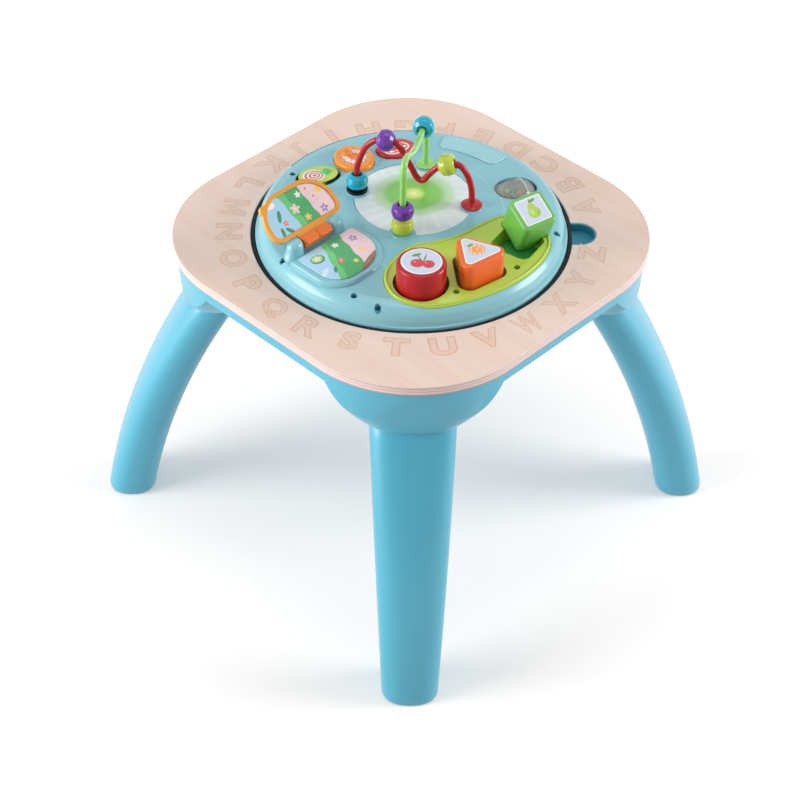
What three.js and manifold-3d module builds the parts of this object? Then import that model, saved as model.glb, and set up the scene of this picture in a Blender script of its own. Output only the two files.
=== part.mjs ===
// Musical activity table for small children: a rounded-square wooden top on a moulded frame
// with four arched legs, and a round electronic play panel that lifts out of its middle.
// Lengths are millimetres and angles degrees. +Z is up and the origin is on the floor under
// the middle of the table. The panel is built in its own frame, whose z is 0 at the table's
// top face, and is turned an eighth of a turn, so that its +X and +Y lie on the diagonals.
import * as THREE from 'three';
import { mergeVertices } from 'three/addons/utils/BufferGeometryUtils.js';
import Module from 'manifold-3d';

const wasm = await Module();
wasm.setup();

// Gaps and counts that many pieces use
const seatGap = 0.3;
const runGap = 0.5;
const overrun = 3;
const ringSteps = 48;
const hiddenSteps = 32;
const discSteps = 24;
const smallSteps = 12;
const holeSteps = 8;
const pinSteps = 10;
const sideSteps = 5;
const cornerSteps = 3;

// Wooden top
const tableHeight = 400;
const boardThickness = 12;
const boardCorner = 148;
const boardEase = 1.5;
const boardRim = 53;
const holeGap = 5.5;
const notchDepth = 28;
const notchHalfWidth = 21;
const notchFloorMargin = 4;
const notchAngle = -1.5;

// Frame under the top
const frameInset = 5;
const deckThickness = 3;
const skirtDepth = 16;
const skirtWall = 3;
const wellWall = 3;
const wellLedge = 3.5;
const wellFloorWidth = 52;
const bowlDepth = 70;
const bowlHalfWidth = 104;
const bowlInnerReach = 50;
const bowlWall = 3.5;
const bowlLip = 1.5;
const bowlCurveShare = 1.3;
const bowlSquareness = 3.2;
const bowlLevels = 4;
const bowlSteps = 20;

// Legs, whose centre line is one arc
const legSetback = 45;
const legArcRadius = 955;
const legTopLean = 31.5;
const legHalfWidthTop = 49.5;
const legHalfWidthFoot = 33;
const legHalfDepthTop = 32;
const legHalfDepthFoot = 29.5;
const legSquareness = 2.5;
const legSteps = 24;
const legLevels = 4;
const legWall = 3;
const legFloor = 4;
const footEase = 2;
const spigotInset = 4;
const spigotLength = 32;
const spigotTop = 6;
const sleeveWall = 3;

// Fasteners
const boltRadius = 3;
const boltHeadRadius = 6;
const boltHeadHeight = 4;
const boltLength = 15;
const woodScrewRadius = 2;
const woodScrewHeadRadius = 4.2;
const woodScrewHeadHeight = 2.4;
const woodScrewBite = 8;
const shellScrewRadius = 1.5;
const shellScrewHeadRadius = 3;
const shellScrewBite = 12;
const shellPostRadius = 4.5;
const shellPostAngles = [168, -106, 8];

// Play panel shells
const panelRadius = 181.5;
const panelCrown = 27;
const panelSkirt = 12;
const panelDepth = 30;
const panelLip = 1.6;
const lipRise = 0.5;
const shellWall = 2.6;
const baseInset = 3.5;
const baseChamfer = 9;
const panelProfileShares = [
  [0.984, 0.3], [0.97, 0.6], [0.945, 0.82], [0.9, 0.92], [0.75, 0.97], [0, 1],
];
const gasketWidth = 4.6;
const gasketDrop = 2.5;

// Light window and the bead wires that stand round it
const windowThickness = 2.4;
const windowRise = 1.6;
const windowHalfwayShare = 0.75;
const windowLedge = 3;
const footTurn = -12.4;
const bossRadius = 13.5;
const bossRise = 1.4;
const wireRadius = 3.8;
const wireSink = 7;
const flangeRadius = 12.5;
const smallFlangeRadius = 11;
const flangeHeight = 3;
const redWireTop = 75;
const greenWireTop = 92;
const redWireShares = [
  [0, 0.2], [0, 0.42], [0.02, 0.58], [0.075, 0.83], [0.15, 0.965], [0.2, 1], [0.3, 1], [0.34, 0.975],
  [0.39, 0.84], [0.46, 0.6], [0.53, 0.37], [0.57, 0.35], [0.63, 0.49], [0.71, 0.645], [0.84, 0.735],
  [0.9, 0.69], [0.955, 0.54], [0.99, 0.33], [1, 0.12],
];
const greenWireShares = [
  [0, 0.25], [0, 0.5], [0, 0.76], [0.004, 0.9], [0.03, 0.98], [0.085, 1], [0.16, 0.97], [0.27, 0.88],
  [0.4, 0.79], [0.54, 0.735], [0.67, 0.715], [0.8, 0.712], [0.93, 0.71], [0.982, 0.65], [1, 0.5], [1, 0.14],
];
const wireSteps = 36;
const wireSides = 8;
const collarRadius = 12.5;
const collarHeight = 3.5;
const beadRadius = 13.3;
const beadHalfWidth = 9.75;
const beadBore = 5.3;
const beadMouth = 1;
const redBeadShare = 0.25;
const limeBeadShare = 0.775;
const tealBeadShare = 0.868;

// Block tray in the shell, and the blocks
const trayLift = 1.2;
const trayOutlineShares = [
  [-106, 0.64], [-103, 0.78], [-97, 0.885], [-86, 0.942], [-68.5, 0.94], [-50, 0.938], [-33.6, 0.94],
  [-20.2, 0.925], [-13, 0.87], [-7, 0.78], [-3.5, 0.67], [-5, 0.56], [-17.6, 0.45], [-38.9, 0.385],
  [-60.6, 0.35], [-87.6, 0.348], [-101, 0.45],
];
const traySteps = 30;
const trayFloorDepth = 19;
const trayFloorThickness = 2;
const trayFloorMargin = 5;
const cupWall = 2;
const redPocketAngle = -86.5;
const orangePocketAngle = -58.2;
const greenPocketAngle = -26;
const greenPocketTurn = 58;
const pocketSlack = 3.5;
const blockEase = 3;
const redBlockHeight = 48;
const orangeBlockHeight = 48;
const orangeTurn = 6;
const greenBlockHeight = 50;
const greenBlockRise = 12.4;
const greenBlockYaw = 28.6;
const greenBlockPitch = 5.3;
const greenBlockLean = 24.4;
const blockLift = 45;
const labelThickness = 0.5;
const labelInset = 5;

// Keys on their silicone domes
const keyTurns = [22, 127, 15];
const keyRises = [3, 7, 4];
const keySteps = 6;
const keyFlange = 2;
const keyFlangeWidth = 1.2;
const domeRadius = 8;
const domeTopRadius = 5;

// Plate that is left bare
const plateFrom = 44;
const plateTo = 75;
const plateThickness = 1;

// Small round holes through the shell
const gripHoleRadius = 3.8;
const gripHoleShares = [[0.934, -149.1], [0.91, -113.5], [0.948, -103.3], [0.93, -12.1], [0.875, 151.5]];
const trayGripShares = [[0.85, -72.4], [0.855, -41.5]];

// Picture book
const bookTurn = 45;
const bookAxisHeight = 36;
const bookOpenTilt = 38;
const bookFrameBar = 5;
const bookThickness = 5;
const bookTabReach = 4;
const bookTabAngle = 135;
const bookTabRadius = 7;
const pageThickness = 2;
const barrelRadius = 7.5;
const earRadius = 8.4;
const earStemInset = 0.45;
const earRings = 6;
const hingePinRadius = 1.5;
const plateauRise = 2.4;
const basePlateInset = 6.5;
const basePlateThickness = 0.8;

// Rattle roller
const rollerTurn = 21.4;
const rollerHeight = 13;
const rollerWall = 1.6;
const rollerSlotMargin = 1.2;
const rollerSteps = 18;
const rollerRings = 6;
const ballDropShare = 0.5;
const axleRadius = 1.5;
const earPlateThickness = 3;
const earPlateHalfWidth = 7;
const earPlateDrop = 17;

// Electronics
const boardLevel = 12;
const boardSheet = 1.6;
const circuitLobeFrom = 84;
const circuitLobeTo = 157;
const lightRadius = 2.5;
const lightHeight = 5;
const lightCount = 5;
const supportRadius = 3.5;
const supportAngles = [30, 150, 270];
const speakerRadius = 28;
const speakerRim = 3;
const magnetRadius = 16;
const speakerHeight = 18;
const batteryRadius = 7.1;
const batteryLength = 50;
const batteryNub = 2.6;
const batteryNubHeight = 1.2;
const bayWall = 2;
const bayHeight = 15;
const doorThickness = 2.4;
const doorTongue = 14;
const doorScrewRadius = 1.4;
const doorScrewHeadRadius = 2.8;
const switchHalfLength = 6;
const switchHalfWidth = 3.5;
const switchTravel = 4;
const switchFlange = 3;
const switchFlangeThickness = 1.5;

// Places and sizes across the panel, as shares of its radius
const acrossShares = {
  windowX: 0.0165, windowY: 0.1377, windowRadius: 0.3857, footReach: 0.3747,
  pocketReach: 0.73, redBlockRadius: 0.1543, orangeCornerReach: 0.1157, orangeCornerRadius: 0.0551,
  greenBlockSide: 0.2369, greenBlockCorner: 0.0386, greenBlockX: 0.7102, greenBlockY: -0.1592,
  keyX: [-0.6033, -0.3691, -0.0937], keyY: [0.3774, 0.5537, 0.686],
  keyHalfLengths: [0.1488, 0.1433, 0.135], keyHalfWidths: [0.1047, 0.1267, 0.1102],
  plateInner: 0.7383, plateOuter: 0.8981, shellPostReach: 0.8375,
  bookX: -0.6088, bookY: -0.3223, bookHalfWidth: 0.2837, bookLength: 0.3526, bookRoot: 0.0551,
  bookCorner: 0.1983, bookRootCorner: 0.0661, bookShift: 0.0028,
  barrelHalfLength: 0.1157, earHalfLength: 0.0507, hingePinHalfLength: 0.2094,
  plateauLength: 0.4628, plateauHalfWidth: 0.2727, plateauStart: 0.0551, plateauShift: 0.0138,
  plateauCorners: [0.1818, 0.2755],
  rollerX: 0.6749, rollerY: 0.2645, rollerRadius: 0.124, rollerHalfLength: 0.1295,
  rollerCurveHalf: 0.1488, axleHalfLength: 0.1625, ballRadius: 0.0331, ballOffsets: [-0.0496, 0.0441],
  circuitRadius: 0.4187, circuitLobeInner: 0.3416, circuitLobeOuter: 0.8154, lightReach: 0.1212,
  supportReach: 0.3416, speakerX: -0.3416, speakerY: -0.3416, bayX: 0.1377, bayY: -0.0826,
  switchX: -0.1377, switchY: 0.4132,
};
const across = Object.fromEntries(Object.entries(acrossShares).map(([name, share]) => (
  [name, Array.isArray(share) ? share.map((each) => each * panelRadius) : share * panelRadius]
)));

// Levels and places that follow
const holeRadius = panelRadius + holeGap;
const notchReach = holeRadius + notchDepth;
const halfSide = holeRadius + boardRim;
const deckTop = tableHeight - boardThickness - seatGap;
const deckBottom = deckTop - deckThickness;
const seamLevel = deckTop - bowlDepth;
const cornerReach = (halfSide - boardCorner) * Math.SQRT2 + boardCorner - frameInset;
const legTopReach = cornerReach - legSetback;
const wellRadius = holeRadius - wellLedge;
const baseTop = shellWall - panelDepth;
const trayFloorTop = panelCrown - trayFloorDepth;
const bossTop = panelCrown + bossRise;
const doorTop = doorThickness - panelDepth;

const radians = THREE.MathUtils.degToRad;

function polar(radius, angle, height = 0) {
  return new THREE.Vector3(radius * Math.cos(radians(angle)), radius * Math.sin(radians(angle)), height);
}

// A closed geometry as a solid for cutting, turned right side out
function solid(geometry) {
  const bare = geometry.index ? geometry.clone() : geometry;
  bare.deleteAttribute('normal');
  bare.deleteAttribute('uv');
  const merged = mergeVertices(bare, 1e-4);
  const corners = merged.getAttribute('position').array;
  const faces = new Uint32Array(merged.index.array);
  if (signedVolume(corners, faces) < 0) {
    for (let k = 0; k < faces.length; k += 3) {
      const first = faces[k];
      faces[k] = faces[k + 1];
      faces[k + 1] = first;
    }
  }
  const vertProperties = new Float32Array(corners);
  return new wasm.Manifold(new wasm.Mesh({ numProp: 3, vertProperties, triVerts: faces }));
}

function signedVolume(corners, faces) {
  let total = 0;
  for (let k = 0; k < faces.length; k += 3) {
    const at = (step) => new THREE.Vector3().fromArray(corners, 3 * faces[k + step]);
    const [a, b, c] = [at(0), at(1), at(2)];
    total += a.dot(b.cross(c));
  }
  return total;
}

// A geometry as a solid, moved to a place seen from above
function solidAt(geometry, at) {
  return solid(geometry.translate(at.x, at.y, 0));
}

function geometryOf(body) {
  const mesh = body.getMesh();
  const geometry = new THREE.BufferGeometry();
  geometry.setAttribute('position', new THREE.BufferAttribute(new Float32Array(mesh.vertProperties), 3));
  geometry.setIndex(new THREE.BufferAttribute(new Uint32Array(mesh.triVerts), 1));
  geometry.computeVertexNormals();
  return geometry;
}

function joined(bodies) {
  return bodies.reduce((all, next) => all.add(next));
}

function cut(body, cutters) {
  return cutters.reduce((left, next) => left.subtract(next), body);
}

function colour(red, green, blue, roughness = 0.4, metalness = 0) {
  const color = new THREE.Color().setRGB(red / 255, green / 255, blue / 255, THREE.SRGBColorSpace);
  return new THREE.MeshStandardMaterial({ color, roughness, metalness });
}

function addPart(parent, name, body, material, place = null) {
  const mesh = new THREE.Mesh(body.isBufferGeometry ? geometryOf(solid(body)) : geometryOf(body), material);
  mesh.name = name;
  if (place) {
    mesh.position.copy(place);
  }
  parent.add(mesh);
  return mesh;
}

// Basic forms, all standing along +Z
function prism(shape, low, high, steps = smallSteps / 4, ease = 0) {
  const geometry = new THREE.ExtrudeGeometry(shape, {
    depth: high - low - 2 * ease,
    curveSegments: steps,
    bevelEnabled: ease > 0,
    bevelThickness: ease,
    bevelSize: ease,
    bevelOffset: -ease,
    bevelSegments: 1,
  });
  return geometry.translate(0, 0, low + ease);
}

function turned(points, steps = smallSteps) {
  const profile = points.map(([x, y]) => new THREE.Vector2(x, y));
  return new THREE.LatheGeometry(profile, steps).rotateX(Math.PI / 2);
}

function drum(radius, low, high, steps = smallSteps) {
  return turned([[0, low], [radius, low], [radius, high], [0, high]], steps);
}

function ring(inner, outer, low, high, steps = ringSteps) {
  return turned([[inner, low], [outer, low], [outer, high], [inner, high], [inner, low]], steps);
}

function roundedShape(halfX, halfY, corner) {
  const shape = new THREE.Shape();
  const x = halfX - corner;
  const y = halfY - corner;
  shape.absarc(x, -y, corner, -Math.PI / 2, 0, false);
  shape.absarc(x, y, corner, 0, Math.PI / 2, false);
  shape.absarc(-x, y, corner, Math.PI / 2, Math.PI, false);
  shape.absarc(-x, -y, corner, Math.PI, 1.5 * Math.PI, false);
  return shape;
}

function ovalShape(halfX, halfY) {
  return new THREE.Shape().absellipse(0, 0, halfX, halfY, 0, 2 * Math.PI, false, 0);
}

function sectorShape(inner, outer, from, to) {
  const shape = new THREE.Shape();
  shape.absarc(0, 0, outer, radians(from), radians(to), false);
  shape.absarc(0, 0, inner, radians(to), radians(from), true);
  return shape;
}

function shapeOf(points) {
  return new THREE.Shape(points.map((point) => new THREE.Vector2(point.x, point.y)));
}

// A closed body through level outlines, lowest first, each counterclockwise from above
function loft(outlines) {
  const count = outlines[0].length;
  const positions = outlines.flat().flatMap((point) => [point.x, point.y, point.z]);
  const index = [];
  for (let level = 0; level + 1 < outlines.length; level += 1) {
    for (let k = 0; k < count; k += 1) {
      const here = level * count + k;
      const next = level * count + (k + 1) % count;
      index.push(here, next, next + count, here, next + count, here + count);
    }
  }
  const lid = (points) => {
    const flat = points.map((point) => new THREE.Vector2(point.x, point.y));
    return THREE.ShapeUtils.triangulateShape(flat, []);
  };
  const last = count * (outlines.length - 1);
  lid(outlines[0]).forEach(([a, b, c]) => index.push(c, b, a));
  lid(outlines[outlines.length - 1]).forEach(([a, b, c]) => index.push(last + a, last + b, last + c));
  const geometry = new THREE.BufferGeometry();
  geometry.setAttribute('position', new THREE.Float32BufferAttribute(positions, 3));
  geometry.setIndex(index);
  return geometry;
}

function grownOutline(points, growth) {
  return points.map((point, k) => {
    const before = points[(k + points.length - 1) % points.length];
    const after = points[(k + 1) % points.length];
    const along = after.clone().sub(before).normalize();
    return new THREE.Vector3(point.x + growth * along.y, point.y - growth * along.x, 0);
  });
}

function tubeAlong(points, radius) {
  const path = new THREE.CatmullRomCurve3(points, false, 'centripetal');
  const section = new THREE.Shape(Array.from({ length: wireSides }, (unused, k) => {
    const angle = 2 * Math.PI * (k + 0.5) / wireSides;
    return new THREE.Vector2(radius * Math.cos(angle), radius * Math.sin(angle));
  }));
  return { path, geometry: new THREE.ExtrudeGeometry(section, { steps: wireSteps, extrudePath: path }) };
}

// A screw whose head rests under or over a face: the shank runs along +Z from the head
function screwBody(radius, headRadius, headHeight, length) {
  return turned([
    [0, -headHeight], [headRadius, -headHeight], [headRadius, 0], [radius, 0], [radius, length], [0, length],
  ], pinSteps);
}

// Wooden top
function boardOutline(inset) {
  return roundedShape(halfSide - inset, halfSide - inset, boardCorner - inset);
}

function notchCutter(grow, low, high) {
  const reach = notchReach - notchHalfWidth;
  const shape = new THREE.Shape();
  shape.moveTo(wellRadius - overrun, -notchHalfWidth - grow);
  shape.absarc(reach, 0, notchHalfWidth + grow, -Math.PI / 2, Math.PI / 2, false);
  shape.lineTo(wellRadius - overrun, notchHalfWidth + grow);
  return solid(prism(shape, low, high, sideSteps).rotateZ(radians(notchAngle + 45)));
}

const screwReach = (holeRadius + halfSide - frameInset) / 2;
const quarterTurns = [0, 90, 180, 270];

function makeBoard() {
  const low = tableHeight - boardThickness;
  const body = solid(prism(boardOutline(0), low, tableHeight, sideSteps, boardEase));
  const opening = solid(drum(holeRadius, low - overrun, tableHeight + overrun, ringSteps));
  const pilots = quarterTurns.map((angle) => {
    const at = polar(screwReach, angle);
    const pilot = drum(woodScrewRadius + seatGap, low - overrun, low + woodScrewBite + seatGap, pinSteps);
    return solidAt(pilot, at);
  });
  return cut(body, [opening, notchCutter(0, low - overrun, tableHeight + overrun), ...pilots]);
}

// Level outline between an oval and a box, with a reach of its own on either side of its centre
function squareOval(centreX, reachOut, reachIn, halfWidth, squareness, steps, level) {
  const square = (part) => Math.sign(part) * Math.abs(part) ** (2 / squareness);
  const points = [];
  for (let k = 0; k < steps; k += 1) {
    const angle = 2 * Math.PI * k / steps;
    const outwards = square(Math.cos(angle));
    const reach = outwards > 0 ? reachOut : reachIn;
    const sideways = halfWidth * square(Math.sin(angle));
    points.push(new THREE.Vector3(centreX + reach * outwards, sideways, level));
  }
  return points;
}

// One corner bowl: level outlines that shrink from the deck to the leg's shoulder
function bowlOutlines(inset, low, levels, steps) {
  const outlines = [];
  for (let level = 0; level <= levels; level += 1) {
    const height = low + (deckTop - low) * level / levels;
    const depthShare = (deckTop - height) / bowlDepth;
    const swell = (1 - depthShare ** bowlCurveShare) ** (1 / bowlCurveShare);
    const grow = (narrow, wide) => narrow + (wide - narrow) * swell - inset;
    const halfWidth = grow(legHalfWidthTop + bowlLip, bowlHalfWidth);
    const outer = grow(legHalfDepthTop + bowlLip, legSetback);
    const inner = grow(legHalfDepthTop + bowlLip, bowlInnerReach);
    const squareness = legSquareness + (bowlSquareness - legSquareness) * swell;
    outlines.push(squareOval(legTopReach, outer, inner, halfWidth, squareness, steps, height));
  }
  return outlines;
}

function spigotOutlines(grow, low, high) {
  const halfDepth = legHalfDepthTop - spigotInset + grow;
  const halfWidth = legHalfWidthTop - spigotInset + grow;
  const outline = (level) => squareOval(
    legTopReach, halfDepth, halfDepth, halfWidth, legSquareness, legSteps, level,
  );
  return [low, high].map(outline);
}

function makeFrame() {
  const deck = solid(prism(boardOutline(frameInset), deckBottom, deckTop));
  const skirtShape = boardOutline(frameInset);
  skirtShape.holes.push(boardOutline(frameInset + skirtWall));
  const skirt = solid(prism(skirtShape, deckTop - skirtDepth, deckTop));
  const wellBottom = tableHeight - panelDepth - seatGap;
  const wellOuter = wellRadius + wellWall;
  const well = solid(drum(wellOuter, wellBottom - deckThickness, deckTop, hiddenSteps));
  const clip = solid(prism(boardOutline(frameInset), seamLevel - overrun, deckTop));
  const sleeveTop = seamLevel + spigotLength + seatGap;
  const bowls = [];
  const hollows = [];
  const sockets = [];
  for (const angle of quarterTurns) {
    const turn = radians(angle + 45);
    const turnedLoft = (outlines) => solid(loft(outlines).rotateZ(turn));
    bowls.push(turnedLoft(bowlOutlines(0, seamLevel, bowlLevels, bowlSteps)).intersect(clip));
    const hollow = turnedLoft(bowlOutlines(bowlWall, seamLevel + bowlWall, bowlLevels / 2, smallSteps));
    const sleeve = turnedLoft(spigotOutlines(seatGap + sleeveWall, seamLevel, sleeveTop + sleeveWall));
    hollows.push(cut(hollow.intersect(innerClip()), [sleeve, wellSkin(wellOuter, wellBottom)]));
    sockets.push(turnedLoft(spigotOutlines(seatGap, seamLevel - overrun, sleeveTop)));
    const at = polar(legTopReach, angle + 45);
    const bolt = drum(boltRadius + seatGap, sleeveTop - overrun, sleeveTop + sleeveWall + overrun, pinSteps);
    sockets.push(solidAt(bolt, at));
  }
  const shallow = solid(drum(wellRadius, wellBottom, deckTop + overrun, ringSteps));
  const open = solid(drum(wellRadius - wellFloorWidth, seamLevel - overrun, deckTop + overrun, hiddenSteps));
  const holes = quarterTurns.map((angle) => {
    const at = polar(screwReach, angle);
    const hole = drum(woodScrewRadius + seatGap, deckBottom - overrun, deckTop + overrun, pinSteps);
    return solidAt(hole, at);
  });
  const shell = cut(joined([deck, skirt, well, ...bowls]), hollows);
  const notchFloor = notchCutter(notchFloorMargin, deckBottom, deckTop);
  return cut(shell.add(notchFloor), [shallow, open, ...sockets, ...holes]);
}

function innerClip() {
  const inset = frameInset + bowlWall;
  return solid(prism(boardOutline(inset), seamLevel - overrun, deckTop + overrun));
}

function wellSkin(outer, bottom) {
  return solid(drum(outer, bottom - deckThickness, deckTop + overrun, hiddenSteps));
}

// One leg in its own frame: +X runs outwards and the foot's sole is at z 0
function legCentre(level) {
  const top = Math.sin(radians(legTopLean));
  const sine = top - (seamLevel - level) / legArcRadius;
  return legTopReach + legArcRadius * (Math.sqrt(1 - sine * sine) - Math.cos(radians(legTopLean)));
}

function legOutline(level, inset) {
  const share = level / seamLevel;
  const mix = (foot, top) => foot + (top - foot) * share - inset;
  const halfDepth = mix(legHalfDepthFoot, legHalfDepthTop);
  const halfWidth = mix(legHalfWidthFoot, legHalfWidthTop);
  return squareOval(legCentre(level), halfDepth, halfDepth, halfWidth, legSquareness, legSteps, level);
}

function makeLeg() {
  const shoulder = seamLevel - seatGap;
  const outer = [legOutline(0, footEase)];
  const inner = [];
  for (let k = 0; k <= legLevels; k += 1) {
    const share = k / legLevels;
    outer.push(legOutline(footEase + (shoulder - footEase) * share, 0));
    inner.push(legOutline(legFloor + (shoulder - legFloor) * share, legWall + spigotInset * share));
  }
  const top = seamLevel + spigotLength;
  const spigot = solid(loft(spigotOutlines(0, shoulder - legWall, top)));
  const bore = solid(loft(spigotOutlines(-legWall, shoulder - legWall, top - spigotTop)));
  const bolt = drum(boltRadius + seatGap, top - spigotTop - overrun, top + overrun, pinSteps);
  bolt.translate(legTopReach, 0, 0);
  return cut(solid(loft(outer)).add(spigot), [solid(loft(inner)), bore, solid(bolt)]);
}

// Panel dome: its outer profile from the lip to the crown, raised or lowered by lift
function domeProfile(lift) {
  return panelProfileShares.map(([reach, rise]) => [panelRadius * reach, panelCrown * rise + lift]);
}

function domeSheet(lift, thickness) {
  const top = domeProfile(lift);
  const under = domeProfile(lift - thickness).reverse();
  return solid(turned([...top, ...under, top[0]], ringSteps));
}

function domeHeight(reach) {
  const profile = domeProfile(0);
  for (let k = 0; k + 1 < profile.length; k += 1) {
    const [outer, low] = profile[k];
    const [inner, high] = profile[k + 1];
    if (reach <= outer && reach >= inner) {
      return low + (high - low) * (outer - reach) / (outer - inner);
    }
  }
  return panelCrown;
}

const windowPlace = new THREE.Vector3(across.windowX, across.windowY, 0);
const feet = {
  left: polar(across.footReach, footTurn + 180),
  right: polar(across.footReach, footTurn),
  front: polar(across.footReach, footTurn - 90),
  back: polar(across.footReach, footTurn + 90),
};
Object.values(feet).forEach((foot) => foot.add(windowPlace));

const trayCurve = new THREE.CatmullRomCurve3(
  trayOutlineShares.map(([angle, share]) => polar(panelRadius * share, angle)), true, 'centripetal',
);
const trayOutline = trayCurve.getSpacedPoints(traySteps).slice(0, -1);

const redPlace = polar(across.pocketReach, redPocketAngle, trayFloorTop + seatGap);
const orangePlace = polar(across.pocketReach, orangePocketAngle, trayFloorTop + seatGap);
const greenPocket = polar(across.pocketReach, greenPocketAngle, trayFloorTop);

function redShape(grow) {
  return ovalShape(across.redBlockRadius + grow, across.redBlockRadius + grow);
}

function orangeShape(grow) {
  const shape = new THREE.Shape();
  for (const angle of [0, 120, 240]) {
    const corner = polar(across.orangeCornerReach, angle + orangeTurn);
    const from = radians(angle + orangeTurn - 60);
    shape.absarc(corner.x, corner.y, across.orangeCornerRadius + grow, from, from + radians(120), false);
  }
  return shape;
}

function greenShape(grow) {
  const half = across.greenBlockSide / 2 + grow;
  return roundedShape(half, half, across.greenBlockCorner + grow);
}

function placedPrism(shape, at, turn, low, high, steps = sideSteps, ease = 0) {
  return prism(shape, low, high, steps, ease).rotateZ(radians(turn)).translate(at.x, at.y, 0);
}

const pockets = [
  { shape: redShape, at: redPlace, turn: 0, steps: smallSteps },
  { shape: orangeShape, at: orangePlace, turn: 0, steps: cornerSteps },
  { shape: greenShape, at: greenPocket, turn: greenPocketTurn, steps: cornerSteps },
];

const greenMatrix = new THREE.Matrix4().compose(
  new THREE.Vector3(across.greenBlockX, across.greenBlockY, trayFloorTop + greenBlockRise),
  new THREE.Quaternion().setFromEuler(new THREE.Euler(
    radians(greenBlockLean), -radians(greenBlockPitch), radians(greenBlockYaw), 'ZYX',
  )),
  new THREE.Vector3(1, 1, 1),
);

// The space that the leaning block fills, up to the end of its lift
function cradleCutter() {
  const gap = seatGap + runGap;
  const sweep = prism(greenShape(gap), -gap, greenBlockHeight + blockLift);
  return solid(sweep.applyMatrix4(greenMatrix));
}

function keyPlace(k) {
  return new THREE.Vector3(across.keyX[k], across.keyY[k], 0);
}

function keyShape(k, grow) {
  return ovalShape(across.keyHalfLengths[k] + grow, across.keyHalfWidths[k] + grow);
}

function keyFlangeTop(k) {
  const reach = keyPlace(k).length() + across.keyHalfLengths[k] + keyFlangeWidth;
  return domeHeight(reach) - shellWall - 2 * seatGap;
}

function bookMatrix() {
  return new THREE.Matrix4().makeRotationZ(radians(bookTurn)).setPosition(across.bookX, across.bookY, 0);
}

function plateauShape(inset) {
  const half = across.plateauHalfWidth - inset;
  const start = -across.plateauStart - inset / 2;
  const end = inset - across.plateauLength;
  const [left, right] = [across.plateauShift - half, across.plateauShift + half];
  const [near, far] = across.plateauCorners.map((corner) => corner - inset);
  const shape = new THREE.Shape();
  shape.moveTo(right, start);
  shape.lineTo(left, start);
  shape.absarc(left + near, end + near, near, Math.PI, 1.5 * Math.PI, false);
  shape.absarc(right - far, end + far, far, 1.5 * Math.PI, 2 * Math.PI, false);
  return shape;
}

const plateauTop = panelCrown + plateauRise;

const rollerPlace = new THREE.Vector3(across.rollerX, across.rollerY, rollerHeight);

function rollerMatrix() {
  return new THREE.Matrix4().makeRotationZ(radians(rollerTurn)).setPosition(rollerPlace);
}

// A body turned about the roller's axle, from a profile of reach and distance along it
function alongAxle(points, steps) {
  return turned(points, steps).rotateY(Math.PI / 2);
}

function pinBody(radius, halfLength, steps = pinSteps) {
  return alongAxle([[0, -halfLength], [radius, -halfLength], [radius, halfLength], [0, halfLength]], steps);
}

function windowShape(grow) {
  const low = panelCrown - shellWall - grow;
  const disc = solidAt(drum(across.windowRadius + grow, low, bossTop + overrun, discSteps), windowPlace);
  const notches = Object.values(feet).map((foot) => (
    solidAt(drum(bossRadius + seatGap - grow, -overrun, bossTop + 2 * overrun, smallSteps), foot)
  ));
  return cut(disc, notches);
}

function shellPosts(radius, low, high, steps = holeSteps) {
  return shellPostAngles.map((angle) => {
    const at = polar(across.shellPostReach, angle);
    return solidAt(drum(radius, low, high, steps), at);
  });
}

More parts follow.
